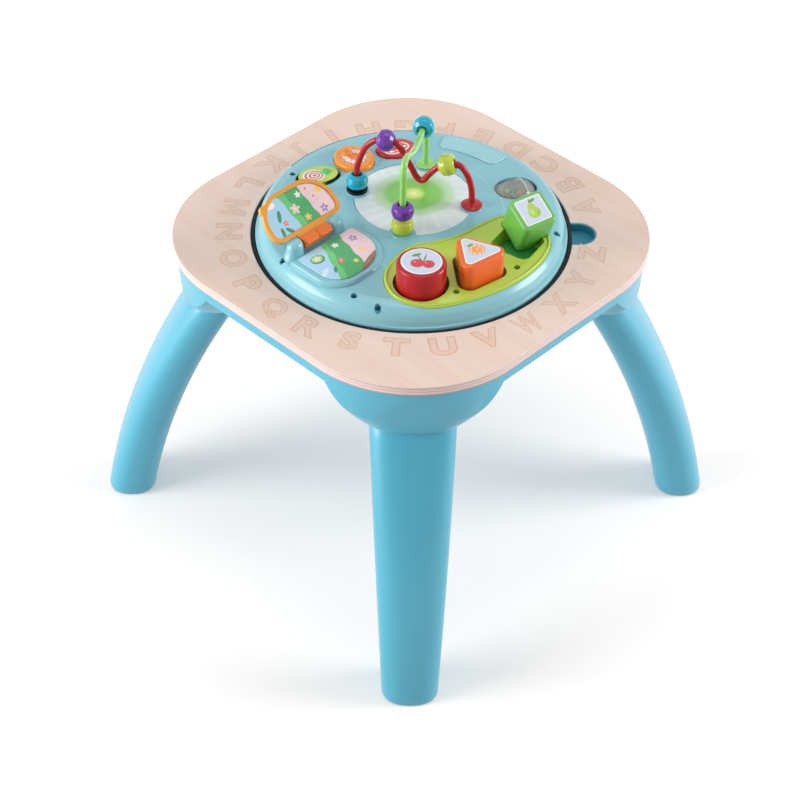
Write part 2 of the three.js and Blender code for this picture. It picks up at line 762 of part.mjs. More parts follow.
function makeTopShell() {
  const lipReach = panelRadius - panelLip;
  const outside = [
    [0, -panelSkirt], [panelRadius, -panelSkirt], [panelRadius, lipRise], [lipReach, lipRise + panelLip],
  ];
  const full = solid(turned([...outside, ...domeProfile(0)], ringSteps));
  const lowered = domeProfile(-shellWall).slice(2);
  const inside = lowered.map(([reach, rise]) => [Math.max(reach - shellWall, 0), rise]);
  const skirtInner = lipReach - shellWall;
  const mouth = [[0, -panelSkirt - overrun], [skirtInner, -panelSkirt - overrun], [skirtInner, 0]];
  const under = solid(turned([...mouth, ...inside], hiddenSteps));
  const shell = full.subtract(under);

  const bosses = Object.values(feet).map((foot) => (
    solidAt(drum(bossRadius, panelCrown - shellWall - windowLedge, bossTop, smallSteps), foot)
  ));
  const ledgeLow = panelCrown - 2 * shellWall - seatGap;
  const ledgeHigh = panelCrown - shellWall / 2;
  const ledgeRing = ring(
    across.windowRadius - windowLedge, across.windowRadius + windowLedge, ledgeLow, ledgeHigh, 2 * holeSteps,
  );
  const ledge = solidAt(ledgeRing, windowPlace);
  const onBook = (geometry) => solid(geometry.applyMatrix4(bookMatrix()));
  const plateau = onBook(prism(plateauShape(0), panelCrown - 2 * shellWall, plateauTop));
  const underPlateau = onBook(prism(plateauShape(shellWall), -overrun, plateauTop - shellWall));
  const ears = [-1, 1].map((side) => {
    const middle = across.barrelHalfLength + runGap + across.earHalfLength;
    const knob = new THREE.SphereGeometry(earRadius, holeSteps, earRings);
    knob.scale(across.earHalfLength / earRadius, 1, 1);
    const stem = drum(earRadius - earStemInset, panelCrown - 2 * shellWall, bookAxisHeight, holeSteps);
    knob.translate(side * middle, 0, bookAxisHeight);
    return onBook(knob).add(onBook(stem.translate(side * middle, 0, 0)));
  });
  const postTop = domeHeight(across.shellPostReach) - shellWall / 2;
  const posts = shellPosts(shellPostRadius, baseTop + seatGap, postTop);
  const earPlates = [-1, 1].map((side) => {
    const middle = side * (rollerSlot().halfLength + earPlateThickness / 2 + seatGap);
    const reach = Math.hypot(across.rollerX, across.rollerY) + middle;
    const plate = new THREE.BoxGeometry(earPlateThickness, 2 * earPlateHalfWidth, earPlateDrop)
      .translate(middle, 0, domeHeight(reach) - shellWall / 2 - rollerHeight - earPlateDrop / 2);
    return solid(plate.applyMatrix4(rollerMatrix()));
  });

  const opening = windowShape(seatGap);
  const trayHole = solid(prism(shapeOf(grownOutline(trayOutline, seatGap)), -overrun, panelCrown + overrun));
  const wireHoles = Object.values(feet).map((foot) => (
    solidAt(drum(wireRadius + 2 * seatGap, 0, bossTop + overrun, holeSteps), foot)
  ));
  const keyHoles = keyTurns.map((turn, k) => (
    solid(placedPrism(keyShape(k, runGap), keyPlace(k), turn, 0, panelCrown + overrun, keySteps))
  ));
  const grips = gripHoleShares.map(([share, angle]) => {
    const at = polar(panelRadius * share, angle);
    return solidAt(drum(gripHoleRadius, panelCrown / 2, panelCrown + overrun, holeSteps), at);
  });
  const hingePin = pinBody(hingePinRadius + seatGap, across.hingePinHalfLength + seatGap);
  const pinHole = onBook(hingePin.translate(0, 0, bookAxisHeight));
  const oval = ovalShape(rollerSlot().halfLength, rollerSlot().halfWidth);
  const slot = solid(placedPrism(oval, rollerPlace, rollerTurn, 0, panelCrown + overrun, pinSteps));
  const axle = pinBody(axleRadius + seatGap, across.axleHalfLength + seatGap);
  const axleHole = solid(axle.applyMatrix4(rollerMatrix()));
  const screwEnd = baseTop + shellScrewBite + 2 * seatGap;
  const screwHoles = shellPosts(shellScrewRadius + seatGap, baseTop - overrun, screwEnd);

  const whole = joined([shell, ledge, ...bosses, plateau, ...posts, ...earPlates]).subtract(underPlateau);
  return cut(whole.add(ears[0]).add(ears[1]), [
    opening, trayHole, ...wireHoles, ...keyHoles, ...grips, pinHole, slot, axleHole, ...screwHoles,
    cradleCutter(),
  ]);
}

function rollerSlot() {
  const rise = panelCrown - 2 * shellWall - rollerHeight;
  const swell = Math.sqrt(1 - (rise / across.rollerRadius) ** 2);
  return {
    halfLength: across.rollerCurveHalf * swell + rollerSlotMargin,
    halfWidth: across.rollerRadius * swell + rollerSlotMargin,
  };
}

function makePlate() {
  const sector = sectorShape(across.plateInner, across.plateOuter, plateFrom, plateTo);
  const column = solid(prism(sector, 0, panelCrown + overrun));
  return domeSheet(seatGap + plateThickness, plateThickness).intersect(column);
}

function makeBaseShell() {
  const outer = panelRadius - baseInset;
  const top = -panelSkirt - seatGap;
  const inner = outer - shellWall;
  const low = -panelDepth;
  const tub = solid(turned([
    [0, low], [outer - baseChamfer, low], [outer, low + baseChamfer], [outer, top], [inner, top],
    [inner, low + baseChamfer], [outer - baseChamfer - shellWall, baseTop], [0, baseTop],
  ], hiddenSteps));
  const bay = bayInside();
  const wallShape = roundedShape(bay.halfX + bayWall, bay.halfY + bayWall, bayWall);
  const walls = solidAt(prism(wallShape, low, low + bayHeight, 1), bay);
  const inside = solid(new THREE.BoxGeometry(2 * bay.halfX, 2 * bay.halfY, bayHeight + overrun)
    .translate(bay.x, bay.y, low + (bayHeight + overrun) / 2 - overrun / 2));
  const tongue = doorPlace();
  const post = solidAt(drum(doorScrewHeadRadius + bayWall, doorTop, low + bayHeight, pinSteps), tongue);
  const shelf = solid(new THREE.BoxGeometry(doorTongue + 3 * bayWall, 2 * bay.halfY + 2 * bayWall, 2 * bayWall)
    .translate(tongue.x + bayWall / 2, tongue.y, doorTop));
  const anchor = shelf.add(post);
  const anchorHole = solidAt(drum(doorScrewRadius + seatGap, doorTop - overrun, low + bayHeight - bayWall, pinSteps)
    , tongue);
  const supports = supportPlaces().map((at) => (
    solidAt(drum(supportRadius, low + shellWall / 2, boardLevel - seatGap, holeSteps), at)
  ));
  const trayProps = [redPocketAngle, greenPocketAngle].map((angle) => {
    const at = polar(across.pocketReach, angle);
    const high = trayFloorTop - trayFloorThickness - seatGap;
    return solidAt(drum(supportRadius, low + shellWall / 2, high, holeSteps), at);
  });
  const screwHoles = shellPosts(shellScrewRadius + seatGap, low - overrun, baseTop + overrun);
  const heads = shellPosts(shellScrewHeadRadius + seatGap, low - overrun, low + shellWall / 2, smallSteps);
  const slotHalf = switchHalfLength + switchTravel + seatGap;
  const slot = solid(new THREE.BoxGeometry(2 * slotHalf, 2 * (switchHalfWidth + seatGap), 4 * overrun)
    .translate(across.switchX, across.switchY, low));
  return cut(
    cut(tub.add(walls), [inside]).add(anchor).add(joined([...supports, ...trayProps])),
    [anchorHole, ...screwHoles, ...heads, slot, doorOpening()],
  );
}

function bayInside() {
  return {
    x: across.bayX,
    y: across.bayY,
    halfX: (batteryLength + batteryNubHeight) / 2 + runGap,
    halfY: 2 * batteryRadius + runGap + seatGap,
  };
}

function doorPlace() {
  const bay = bayInside();
  return { x: bay.x + bay.halfX + bayWall + doorTongue / 2, y: bay.y };
}

function doorShape(grow) {
  const bay = bayInside();
  const halfX = bay.halfX + doorTongue / 2 + bayWall / 2;
  const shape = roundedShape(halfX + grow, bay.halfY + grow, bayWall);
  return { shape, x: bay.x + doorTongue / 2 + bayWall / 2, y: bay.y };
}

function doorOpening() {
  const door = doorShape(seatGap);
  return solidAt(prism(door.shape, -panelDepth - overrun, doorTop + seatGap), door);
}

function makeDoor() {
  const door = doorShape(0);
  const plate = solidAt(prism(door.shape, -panelDepth, doorTop), door);
  const at = doorPlace();
  const hole = solidAt(drum(doorScrewRadius + seatGap, -panelDepth - overrun, doorTop + overrun, pinSteps), at);
  const head = drum(doorScrewHeadRadius + seatGap, -panelDepth - overrun, doorTop - doorThickness / 2);
  return cut(plate, [hole, solidAt(head, at)]);
}

function supportPlaces() {
  const round = supportAngles.map((angle) => polar(across.supportReach, angle).add(windowPlace));
  const between = [0, 1].map((k) => keyPlace(k).lerp(keyPlace(k + 1), 0.5));
  return [...round, ...between];
}

function makeCircuit() {
  const top = boardLevel + boardSheet;
  const disc = solidAt(drum(across.circuitRadius, boardLevel, top, discSteps), windowPlace);
  const sector = sectorShape(across.circuitLobeInner, across.circuitLobeOuter, circuitLobeFrom, circuitLobeTo);
  const lobe = solid(prism(sector, boardLevel, top, holeSteps));
  const lights = Array.from({ length: lightCount }, (unused, k) => {
    const at = polar(across.lightReach, 360 * k / lightCount).add(windowPlace);
    return solidAt(drum(lightRadius, boardLevel, top + lightHeight, holeSteps), at);
  });
  return joined([disc, lobe, ...lights]);
}

function makeSpeaker() {
  return turned([
    [0, 0], [magnetRadius, 0], [magnetRadius, speakerHeight / 2], [speakerRadius, speakerHeight - speakerRim],
    [speakerRadius, speakerHeight], [speakerRadius - speakerRim, speakerHeight],
    [magnetRadius / 2, speakerHeight - 2 * speakerRim], [0, speakerHeight - 2 * speakerRim],
  ], discSteps);
}

function makeTray() {
  const sheet = domeSheet(trayLift, shellWall + trayLift);
  const body = sheet.intersect(solid(prism(shapeOf(trayOutline), 0, panelCrown + 2 * overrun)));
  const cupLow = trayFloorTop + seatGap;
  const cups = pockets.map(({ shape, at, turn, steps }) => (
    solid(placedPrism(shape(pocketSlack + cupWall), at, turn, cupLow, panelCrown - shellWall, steps))
  ));
  const cuts = pockets.map(({ shape, at, turn, steps }) => (
    solid(placedPrism(shape(pocketSlack), at, turn, trayFloorTop - overrun, panelCrown + 2 * overrun, steps))
  ));
  const grips = trayGripShares.map(([share, angle]) => {
    const at = polar(panelRadius * share, angle);
    return solidAt(drum(gripHoleRadius, panelCrown / 2, panelCrown + 2 * overrun, holeSteps), at);
  });
  const dome = solid(turned([[0, 0], ...domeProfile(trayLift)], ringSteps));
  return cut(joined([body, ...cups.map((cup) => cup.intersect(dome))]), [...cuts, ...grips, cradleCutter()]);
}

function makeTrayFloor() {
  const outline = shapeOf(grownOutline(trayOutline, -trayFloorMargin));
  return solid(prism(outline, trayFloorTop - trayFloorThickness, trayFloorTop));
}

function makeBead() {
  const points = [];
  const top = Math.asin(beadHalfWidth / beadRadius);
  for (let k = 0; k <= cornerSteps; k += 1) {
    const angle = -top + 2 * top * k / cornerSteps;
    points.push([beadRadius * Math.cos(angle), beadRadius * Math.sin(angle)]);
  }
  const mouth = beadBore + beadMouth;
  return turned([
    [beadBore, -beadHalfWidth + beadMouth], [mouth, -beadHalfWidth], ...points, [mouth, beadHalfWidth],
    [beadBore, beadHalfWidth - beadMouth], [beadBore, -beadHalfWidth + beadMouth],
  ]);
}

// A bead wire stands in the upright plane through its two feet
function wireRoute(from, to, top, shares) {
  const along = to.clone().sub(from);
  const points = shares.map(([share, rise]) => (
    from.clone().addScaledVector(along, share).setZ(bossTop + top * rise)
  ));
  points.unshift(from.clone().setZ(bossTop - wireSink));
  points.push(to.clone().setZ(bossTop - wireSink));
  return points;
}

// A threaded bead lies along the chord of the stretch of wire that it covers
function beadOnWire(path, share, span) {
  const samples = 400;
  const reached = (along) => path.getPointAt(along).sub(span.from).dot(span.axis);
  let best = 0;
  for (let k = 0; k <= samples; k += 1) {
    if (Math.abs(reached(k / samples) - share * span.length) < Math.abs(reached(best) - share * span.length)) {
      best = k / samples;
    }
  }
  const half = beadHalfWidth / path.getLength();
  const start = path.getPointAt(best - half);
  const end = path.getPointAt(best + half);
  const at = start.clone().lerp(end, 0.5).lerp(path.getPointAt(best), 0.5);
  const chord = end.sub(start).normalize();
  return { at, turn: new THREE.Quaternion().setFromUnitVectors(new THREE.Vector3(0, 0, 1), chord) };
}

function spanOf(from, to) {
  const axis = to.clone().sub(from);
  const length = axis.length();
  return { from, axis: axis.normalize(), length };
}

function makeKey(k) {
  const face = domeHeight(keyPlace(k).length());
  const flangeTop = keyFlangeTop(k);
  const cap = solid(prism(keyShape(k, 0), flangeTop - keyFlange / 2, face + keyRises[k], keySteps, keyFlange / 2));
  return cap.add(solid(prism(keyShape(k, keyFlangeWidth), flangeTop - keyFlange, flangeTop, keySteps)));
}

function flapOutline(inset) {
  const half = across.bookHalfWidth - inset;
  const low = across.bookRoot + inset;
  const high = across.bookLength - inset;
  const corner = across.bookCorner - inset;
  const root = Math.max(across.bookRootCorner - inset, across.bookRootCorner / 3);
  const shape = new THREE.Shape();
  shape.absarc(across.bookShift - half + root, low + root, root, Math.PI, 1.5 * Math.PI, false);
  shape.absarc(across.bookShift + half - root, low + root, root, 1.5 * Math.PI, 2 * Math.PI, false);
  shape.absarc(across.bookShift + half - corner, high - corner, corner, 0, Math.PI / 2, false);
  shape.absarc(across.bookShift - half + corner, high - corner, corner, Math.PI / 2, Math.PI, false);
  return shape;
}

function makeFlap() {
  const half = bookThickness / 2;
  const plate = solid(prism(flapOutline(0), -half, half, sideSteps));
  const tabAt = polar(across.bookCorner + bookTabReach - bookTabRadius, bookTabAngle);
  tabAt.x += across.bookShift - across.bookHalfWidth + across.bookCorner;
  tabAt.y += across.bookLength - across.bookCorner;
  const tab = solidAt(drum(bookTabRadius, -half, half), tabAt);
  const barrel = solid(pinBody(barrelRadius, across.barrelHalfLength, bowlSteps));
  const webReach = across.bookRoot + bookFrameBar / 2;
  const web = solid(new THREE.BoxGeometry(2 * across.barrelHalfLength, webReach, bookThickness)
    .translate(0, webReach / 2, 0));
  const opening = solid(prism(flapOutline(bookFrameBar), -bookThickness, bookThickness, sideSteps));
  const bore = solid(pinBody(hingePinRadius + seatGap, across.barrelHalfLength + overrun));
  return cut(joined([plate, tab, barrel, web]), [opening, bore]);
}

function makeRoller() {
  const outer = [];
  const inner = [];
  for (let k = 0; k <= rollerRings; k += 1) {
    const share = -1 + 2 * k / rollerRings;
    const swell = Math.sqrt(1 - (share * across.rollerHalfLength / across.rollerCurveHalf) ** 2);
    outer.push([across.rollerRadius * swell, across.rollerHalfLength * share]);
    const reach = (across.rollerRadius - rollerWall) * swell - rollerWall / 2;
    inner.push([reach, (across.rollerHalfLength - rollerWall) * share]);
  }
  const bore = axleRadius + seatGap;
  const end = across.rollerHalfLength;
  return alongAxle([
    [bore, -end], ...outer, [bore, end], [bore, end - rollerWall], ...inner.reverse(), [bore, rollerWall - end],
    [bore, -end],
  ], rollerSteps);
}

function batteryBody() {
  const start = -batteryLength / 2;
  return alongAxle([
    [0, start], [batteryRadius, start], [batteryRadius, -start], [batteryNub, -start],
    [batteryNub, batteryNubHeight - start], [0, batteryNubHeight - start],
  ], smallSteps);
}

// Materials
const paleWood = colour(232, 212, 201, 0.6);
const frameBlue = colour(96, 188, 212, 0.4);
const panelBlue = colour(160, 215, 225, 0.35);
const steel = colour(190, 192, 196, 0.35, 0.9);
const darkRubber = colour(12, 26, 35, 0.6);
const milkWhite = colour(225, 240, 235, 0.3);
const circuitGreen = colour(40, 110, 70, 0.5);
const darkPlastic = colour(60, 66, 72, 0.5);
const limeGreen = colour(175, 205, 70, 0.35);
const brightGreen = colour(70, 180, 75, 0.4);
const toyRed = colour(200, 40, 45, 0.3);
const toyOrange = colour(235, 110, 40, 0.3);
const leafGreen = colour(110, 180, 80, 0.35);
const labelPaper = colour(215, 225, 235, 0.5);
const wireGreen = colour(150, 205, 120, 0.3);
const beadPurple = colour(90, 45, 130, 0.25);
const beadTeal = colour(0, 165, 185, 0.25);
const beadLime = colour(175, 190, 60, 0.3);
const pageOrange = colour(215, 150, 60, 0.4);
const printedCard = colour(120, 190, 170, 0.5);
const clearPlastic = colour(200, 215, 210, 0.1);
const silicone = colour(225, 225, 215, 0.7);

// Assembly
const table = new THREE.Group();
addPart(table, 'tabletop_board', makeBoard(), paleWood);
addPart(table, 'support_frame', makeFrame(), frameBlue);

const legNames = ['leg_right', 'leg_back', 'leg_left', 'leg_front'];
const leg = makeLeg();
legNames.forEach((name, k) => {
  addPart(table, name, leg, frameBlue).rotation.z = radians(45 + quarterTurns[k]);
  const head = seamLevel + spigotLength + 2 * seatGap + sleeveWall;
  const bolt = screwBody(boltRadius, boltHeadRadius, boltHeadHeight, boltLength);
  const boltPlace = polar(legTopReach, 45 + quarterTurns[k], head);
  addPart(table, `leg_bolt_${k + 1}`, bolt, steel, boltPlace).rotation.x = Math.PI;
  const screwLength = deckThickness + woodScrewBite + seatGap;
  const screw = screwBody(woodScrewRadius, woodScrewHeadRadius, woodScrewHeadHeight, screwLength);
  addPart(table, `board_screw_${k + 1}`, screw, steel, polar(screwReach, quarterTurns[k], deckBottom - seatGap));
});
const gasket = ring(holeRadius - runGap - gasketWidth, holeRadius - runGap, -boardThickness, -gasketDrop);
addPart(table, 'gap_gasket', gasket, darkRubber, new THREE.Vector3(0, 0, tableHeight));

const panel = new THREE.Group();
panel.position.z = tableHeight;
panel.rotation.z = radians(45);
table.add(panel);
addPart(panel, 'panel_top_shell', makeTopShell(), panelBlue);
addPart(panel, 'panel_bottom_shell', makeBaseShell(), frameBlue);

const lensBody = turned([
  [0, panelCrown - shellWall], [across.windowRadius, panelCrown - shellWall],
  [across.windowRadius, panelCrown - shellWall + windowThickness],
  [across.windowRadius / 2, panelCrown + windowRise * windowHalfwayShare], [0, panelCrown + windowRise],
], discSteps).translate(across.windowX, across.windowY, 0);
addPart(panel, 'light_window', solid(lensBody).intersect(windowShape(0)), milkWhite);
addPart(panel, 'circuit_board', makeCircuit(), circuitGreen);
const speakerPlace = new THREE.Vector3(across.speakerX, across.speakerY, baseTop + seatGap);
addPart(panel, 'speaker', makeSpeaker(), darkPlastic, speakerPlace);
addPart(panel, 'battery_door', makeDoor(), frameBlue);
const tonguePlace = doorPlace();
const doorScrew = screwBody(doorScrewRadius, doorScrewHeadRadius, doorThickness / 2 - seatGap, bayHeight / 2);
addPart(panel, 'battery_door_screw', doorScrew, steel,
  new THREE.Vector3(tonguePlace.x, tonguePlace.y, doorTop - doorThickness / 2 - seatGap));
[-1, 1].forEach((side, k) => {
  const at = new THREE.Vector3(
    across.bayX - batteryNubHeight / 2,
    across.bayY + side * (batteryRadius + seatGap / 2),
    doorTop + batteryRadius + 2 * seatGap,
  );
  addPart(panel, `battery_${k + 1}`, batteryBody(), darkPlastic, at);
});
shellPostAngles.forEach((angle, k) => {
  const headHeight = shellWall / 2 - seatGap;
  const screw = screwBody(shellScrewRadius, shellScrewHeadRadius, headHeight, shellWall / 2 + shellScrewBite);
  addPart(panel, `shell_screw_${k + 1}`, screw, steel, polar(across.shellPostReach, angle, headHeight - panelDepth));
});
addPart(panel, 'bare_plate', makePlate(), panelBlue);

const sliderTop = shellWall + seatGap;
const slider = solid(new THREE.BoxGeometry(2 * switchHalfLength, 2 * switchHalfWidth, sliderTop)
  .translate(0, 0, sliderTop / 2));
const flangeLength = 2 * (switchHalfLength + switchTravel + switchFlange);
const flangeWidth = 2 * (switchHalfWidth + switchFlange);
const flange = solid(new THREE.BoxGeometry(flangeLength, flangeWidth, switchFlangeThickness)
  .translate(0, 0, sliderTop + switchFlangeThickness / 2));
const switchPlace = new THREE.Vector3(across.switchX, across.switchY, -panelDepth);
addPart(panel, 'power_switch', slider.add(flange), darkPlastic, switchPlace);

// Tray and blocks
addPart(panel, 'shape_tray', makeTray(), limeGreen);
addPart(panel, 'tray_floor', makeTrayFloor(), brightGreen);
const redLabel = drum(across.redBlockRadius - labelInset, 0, labelThickness, discSteps);
const redBody = prism(redShape(0), 0, redBlockHeight, smallSteps, blockEase);
addPart(panel, 'red_block', redBody, toyRed, redPlace);
addPart(panel, 'red_label', redLabel, labelPaper, redPlace.clone().setZ(redPlace.z + redBlockHeight + seatGap));
const orangeBody = prism(orangeShape(0), 0, orangeBlockHeight, cornerSteps + 1, blockEase);
addPart(panel, 'orange_block', orangeBody, toyOrange, orangePlace);
addPart(panel, 'orange_label', prism(orangeShape(-labelInset), 0, labelThickness, cornerSteps + 1), labelPaper,
  orangePlace.clone().setZ(orangePlace.z + orangeBlockHeight + seatGap));
const leaning = new THREE.Group();
greenMatrix.decompose(leaning.position, leaning.quaternion, leaning.scale);
panel.add(leaning);
const greenBody = prism(greenShape(0), 0, greenBlockHeight, cornerSteps, blockEase);
addPart(leaning, 'green_block', greenBody, leafGreen);
addPart(leaning, 'green_label', prism(greenShape(-labelInset), 0, labelThickness), labelPaper,
  new THREE.Vector3(0, 0, greenBlockHeight + seatGap));

// Bead wires
const redSpan = spanOf(feet.left, feet.right);
const redTube = tubeAlong(wireRoute(feet.left, feet.right, redWireTop, redWireShares), wireRadius);
const flangeTop = bossTop + seatGap + flangeHeight;
const redFlange = solidAt(drum(flangeRadius, bossTop + seatGap, flangeTop, discSteps), feet.right);
addPart(panel, 'red_wire', solid(redTube.geometry).add(redFlange), toyRed);
const greenSpan = spanOf(feet.front, feet.back);
const greenTube = tubeAlong(wireRoute(feet.front, feet.back, greenWireTop, greenWireShares), wireRadius);
const greenFlange = solidAt(drum(smallFlangeRadius, bossTop + seatGap, flangeTop, discSteps), feet.back);
addPart(panel, 'green_wire', solid(greenTube.geometry).add(greenFlange), wireGreen);
const collar = ring(wireRadius + seatGap, collarRadius, 0, collarHeight, discSteps);
addPart(panel, 'wire_collar', collar, darkRubber, feet.left.clone().setZ(bossTop + seatGap));

const bead = makeBead();
function standingBead(name, foot, low, material) {
  addPart(panel, name, bead, material, foot.clone().setZ(low + seatGap + beadHalfWidth));
}
function threadedBead(name, path, share, span, material) {
  const { at, turn } = beadOnWire(path, share, span);
  addPart(panel, name, bead, material, at).quaternion.copy(turn);
}
standingBead('teal_bead_left', feet.left, bossTop + seatGap + collarHeight, beadTeal);
standingBead('lime_bead_front', feet.front, bossTop, beadLime);
standingBead('purple_bead_front', feet.front, bossTop + seatGap + 2 * beadHalfWidth, beadPurple);
threadedBead('purple_bead_top', redTube.path, redBeadShare, redSpan, beadPurple);
threadedBead('lime_bead_right', redTube.path, limeBeadShare, redSpan, beadLime);
threadedBead('teal_bead_top', greenTube.path, tealBeadShare, greenSpan, beadTeal);

// Keys
['key_green', 'key_orange', 'key_red'].forEach((name, k) => {
  const key = addPart(panel, name, makeKey(k), [limeGreen, toyOrange, toyRed][k], keyPlace(k));
  key.rotation.z = radians(keyTurns[k]);
  const low = boardLevel + boardSheet + seatGap;
  const high = keyFlangeTop(k) - keyFlange - seatGap;
  const dome = turned([[0, low], [domeRadius, low], [domeTopRadius, high], [0, high]]);
  addPart(panel, name.replace('key', 'key_dome'), dome, silicone, keyPlace(k));
});

// Picture book, whose flap lies open past upright
const basePlateLow = plateauTop + seatGap;
const basePlate = prism(plateauShape(basePlateInset), basePlateLow, basePlateLow + basePlateThickness, sideSteps);
addPart(panel, 'book_base_plate', basePlate.applyMatrix4(bookMatrix()), printedCard);
const flap = new THREE.Group();
flap.position.set(across.bookX, across.bookY, bookAxisHeight);
flap.rotation.set(radians(bookOpenTilt), 0, radians(bookTurn), 'ZYX');
panel.add(flap);
addPart(flap, 'book_flap', makeFlap(), pageOrange);
const page = prism(flapOutline(bookFrameBar + seatGap), -pageThickness / 2, pageThickness / 2, sideSteps);
addPart(flap, 'book_page', page, printedCard);
const pin = pinBody(hingePinRadius, across.hingePinHalfLength).rotateZ(radians(bookTurn));
addPart(panel, 'book_hinge_pin', pin, steel, new THREE.Vector3(across.bookX, across.bookY, bookAxisHeight));

// Rattle roller
addPart(panel, 'rattle_roller', makeRoller().rotateZ(radians(rollerTurn)), clearPlastic, rollerPlace);
across.ballOffsets.forEach((offset, k) => {
  const at = polar(offset, rollerTurn, -ballDropShare * across.rollerRadius).add(rollerPlace);
  const ball = new THREE.SphereGeometry(across.ballRadius, smallSteps, holeSteps);
  addPart(panel, `rattle_ball_${k + 1}`, ball, [beadPurple, beadTeal][k], at);
});
const axle = pinBody(axleRadius, across.axleHalfLength).rotateZ(radians(rollerTurn));
addPart(panel, 'roller_axle', axle, steel, rollerPlace);

export default table;
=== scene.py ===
# Musical activity table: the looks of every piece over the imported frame.
# Pieces are drawn in millimetres in their own places and scaled to metres at the end.
import bpy
import bmesh
from math import radians, sin, cos, tan, pi, sqrt, hypot, degrees
from mathutils import Vector, Matrix


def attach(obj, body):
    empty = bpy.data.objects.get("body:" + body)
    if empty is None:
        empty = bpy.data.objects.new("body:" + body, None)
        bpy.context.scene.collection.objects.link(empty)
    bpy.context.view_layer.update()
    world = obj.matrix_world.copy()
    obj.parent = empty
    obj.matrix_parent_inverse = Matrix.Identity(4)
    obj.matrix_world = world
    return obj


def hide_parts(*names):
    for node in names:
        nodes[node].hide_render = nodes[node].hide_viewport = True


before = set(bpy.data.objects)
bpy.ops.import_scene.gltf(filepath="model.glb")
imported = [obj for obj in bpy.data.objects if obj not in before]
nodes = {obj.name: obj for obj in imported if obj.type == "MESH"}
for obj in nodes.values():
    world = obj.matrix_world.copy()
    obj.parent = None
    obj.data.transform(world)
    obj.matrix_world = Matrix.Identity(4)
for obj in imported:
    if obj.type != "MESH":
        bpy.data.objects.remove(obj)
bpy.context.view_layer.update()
print("frame loaded with", len(nodes), "nodes")

mm = 0.001
tableTop = 400.0
world = Matrix.Identity(4)
eighth = Matrix.Rotation(radians(45), 4, "Z")
onPanel = Matrix.Translation((0, 0, tableTop)) @ eighth  # z 0 at the table's top face
rimAngle = 34  # edges sharper than this get their bevel


def at(x=0, y=0, z=0, turn=0):
    return Matrix.Translation((x, y, z)) @ Matrix.Rotation(radians(turn), 4, "Z")


def polar(reach, angle):
    return reach * cos(radians(angle)), reach * sin(radians(angle))


# Outlines

def roundedOutline(halfX, halfY, corner, steps=10):
    points = []
    for signX, signY, start in ((1, 1, 0), (-1, 1, 90), (-1, -1, 180), (1, -1, 270)):
        for k in range(steps + 1):
            x, y = polar(corner, start + 90 * k / steps)
            points.append(Vector((signX * (halfX - corner) + x, signY * (halfY - corner) + y)))
    return points


def ovalOutline(halfX, halfY, steps=64):
    return [Vector((halfX * cos(2 * pi * k / steps), halfY * sin(2 * pi * k / steps))) for k in range(steps)]


def squareOval(centre, outer, inner, half, squareness, level, count=72):
    # a ring between an oval and a rectangle that may reach further on one side
    ring = []
    for k in range(count):
        c, s = cos(2 * pi * k / count), sin(2 * pi * k / count)
        x = (outer if c > 0 else -inner) * abs(c) ** (2 / squareness)
        y = (half if s > 0 else -half) * abs(s) ** (2 / squareness)
        ring.append(Vector((centre + x, y, level)))
    return ring


def threeCornered(reach, corner, turn, steps=10):
    points = []
    for angle in (0, 120, 240):
        middle = Vector(polar(reach, angle + turn))
        for k in range(steps + 1):
            points.append(middle + Vector(polar(corner, angle + turn - 60 + 120 * k / steps)))
    return points


def softPath(corners, closed=False, steps=6, most=0.49):
    # each corner is (x, y, radius); an arc of that radius takes its place
    path = []
    for k, (x, y, radius) in enumerate(corners):
        here = Vector((x, y))
        if not radius or (not closed and k in (0, len(corners) - 1)):
            path.append(here)
            continue
        back = Vector(corners[k - 1][:2]) - here
        onward = Vector(corners[(k + 1) % len(corners)][:2]) - here
        half = back.angle(onward) / 2
        if half > 1.56:
            path.append(here)
            continue
        trim = min(radius / max(tan(half), 0.01), most * back.length, most * onward.length)
        start = here + back.normalized() * trim
        end = here + onward.normalized() * trim
        middle = here + (back.normalized() + onward.normalized()).normalized() * trim / cos(half)
        spread = (start - middle).angle_signed(end - middle)
        for s in range(steps + 1):
            path.append(middle + Matrix.Rotation(-spread * s / steps, 2) @ (start - middle))
    return path


def splinePath(points, steps=8, closed=False):
    # centripetal curve through the points
    if closed:
        ends = [points[-1]] + points + points[:2]
    else:
        ends = [2 * points[0] - points[1]] + points + [2 * points[-1] - points[-2]]
    path = []
    for k in range(1, len(ends) - 2):
        p0, p1, p2, p3 = ends[k - 1:k + 3]
        d0, d1, d2 = (max((b - a).length, 1e-4) ** 0.5 for a, b in ((p0, p1), (p1, p2), (p2, p3)))
        t1 = ((p1 - p0) / d0 - (p2 - p0) / (d0 + d1) + (p2 - p1) / d1) * d1
        t2 = ((p2 - p1) / d1 - (p3 - p1) / (d1 + d2) + (p3 - p2) / d2) * d1
        square, cube = 3 * (p2 - p1) - 2 * t1 - t2, 2 * (p1 - p2) + t1 + t2
        for s in range(steps):
            t = s / steps
            path.append(p1 + t1 * t + square * t * t + cube * t ** 3)
    if not closed:
        path.append(points[-1])
    return path


def evenly(points, count):
    # the same closed outline with points at even distances
    ring = points + [points[0]]
    reach = [0]
    for a, b in zip(ring, ring[1:]):
        reach.append(reach[-1] + (b - a).length)
    path, leg = [], 0
    for k in range(count):
        goal = reach[-1] * k / count
        while reach[leg + 1] < goal:
            leg += 1
        share = (goal - reach[leg]) / max(reach[leg + 1] - reach[leg], 1e-6)
        path.append(ring[leg].lerp(ring[leg + 1], share))
    return path


def grown(points, growth):
    # a counterclockwise outline moved outwards
    path = []
    for k, here in enumerate(points):
        along = (points[(k + 1) % len(points)] - points[k - 1]).normalized()
        path.append(Vector((here.x + growth * along.y, here.y - growth * along.x)))
    return path


# Bodies

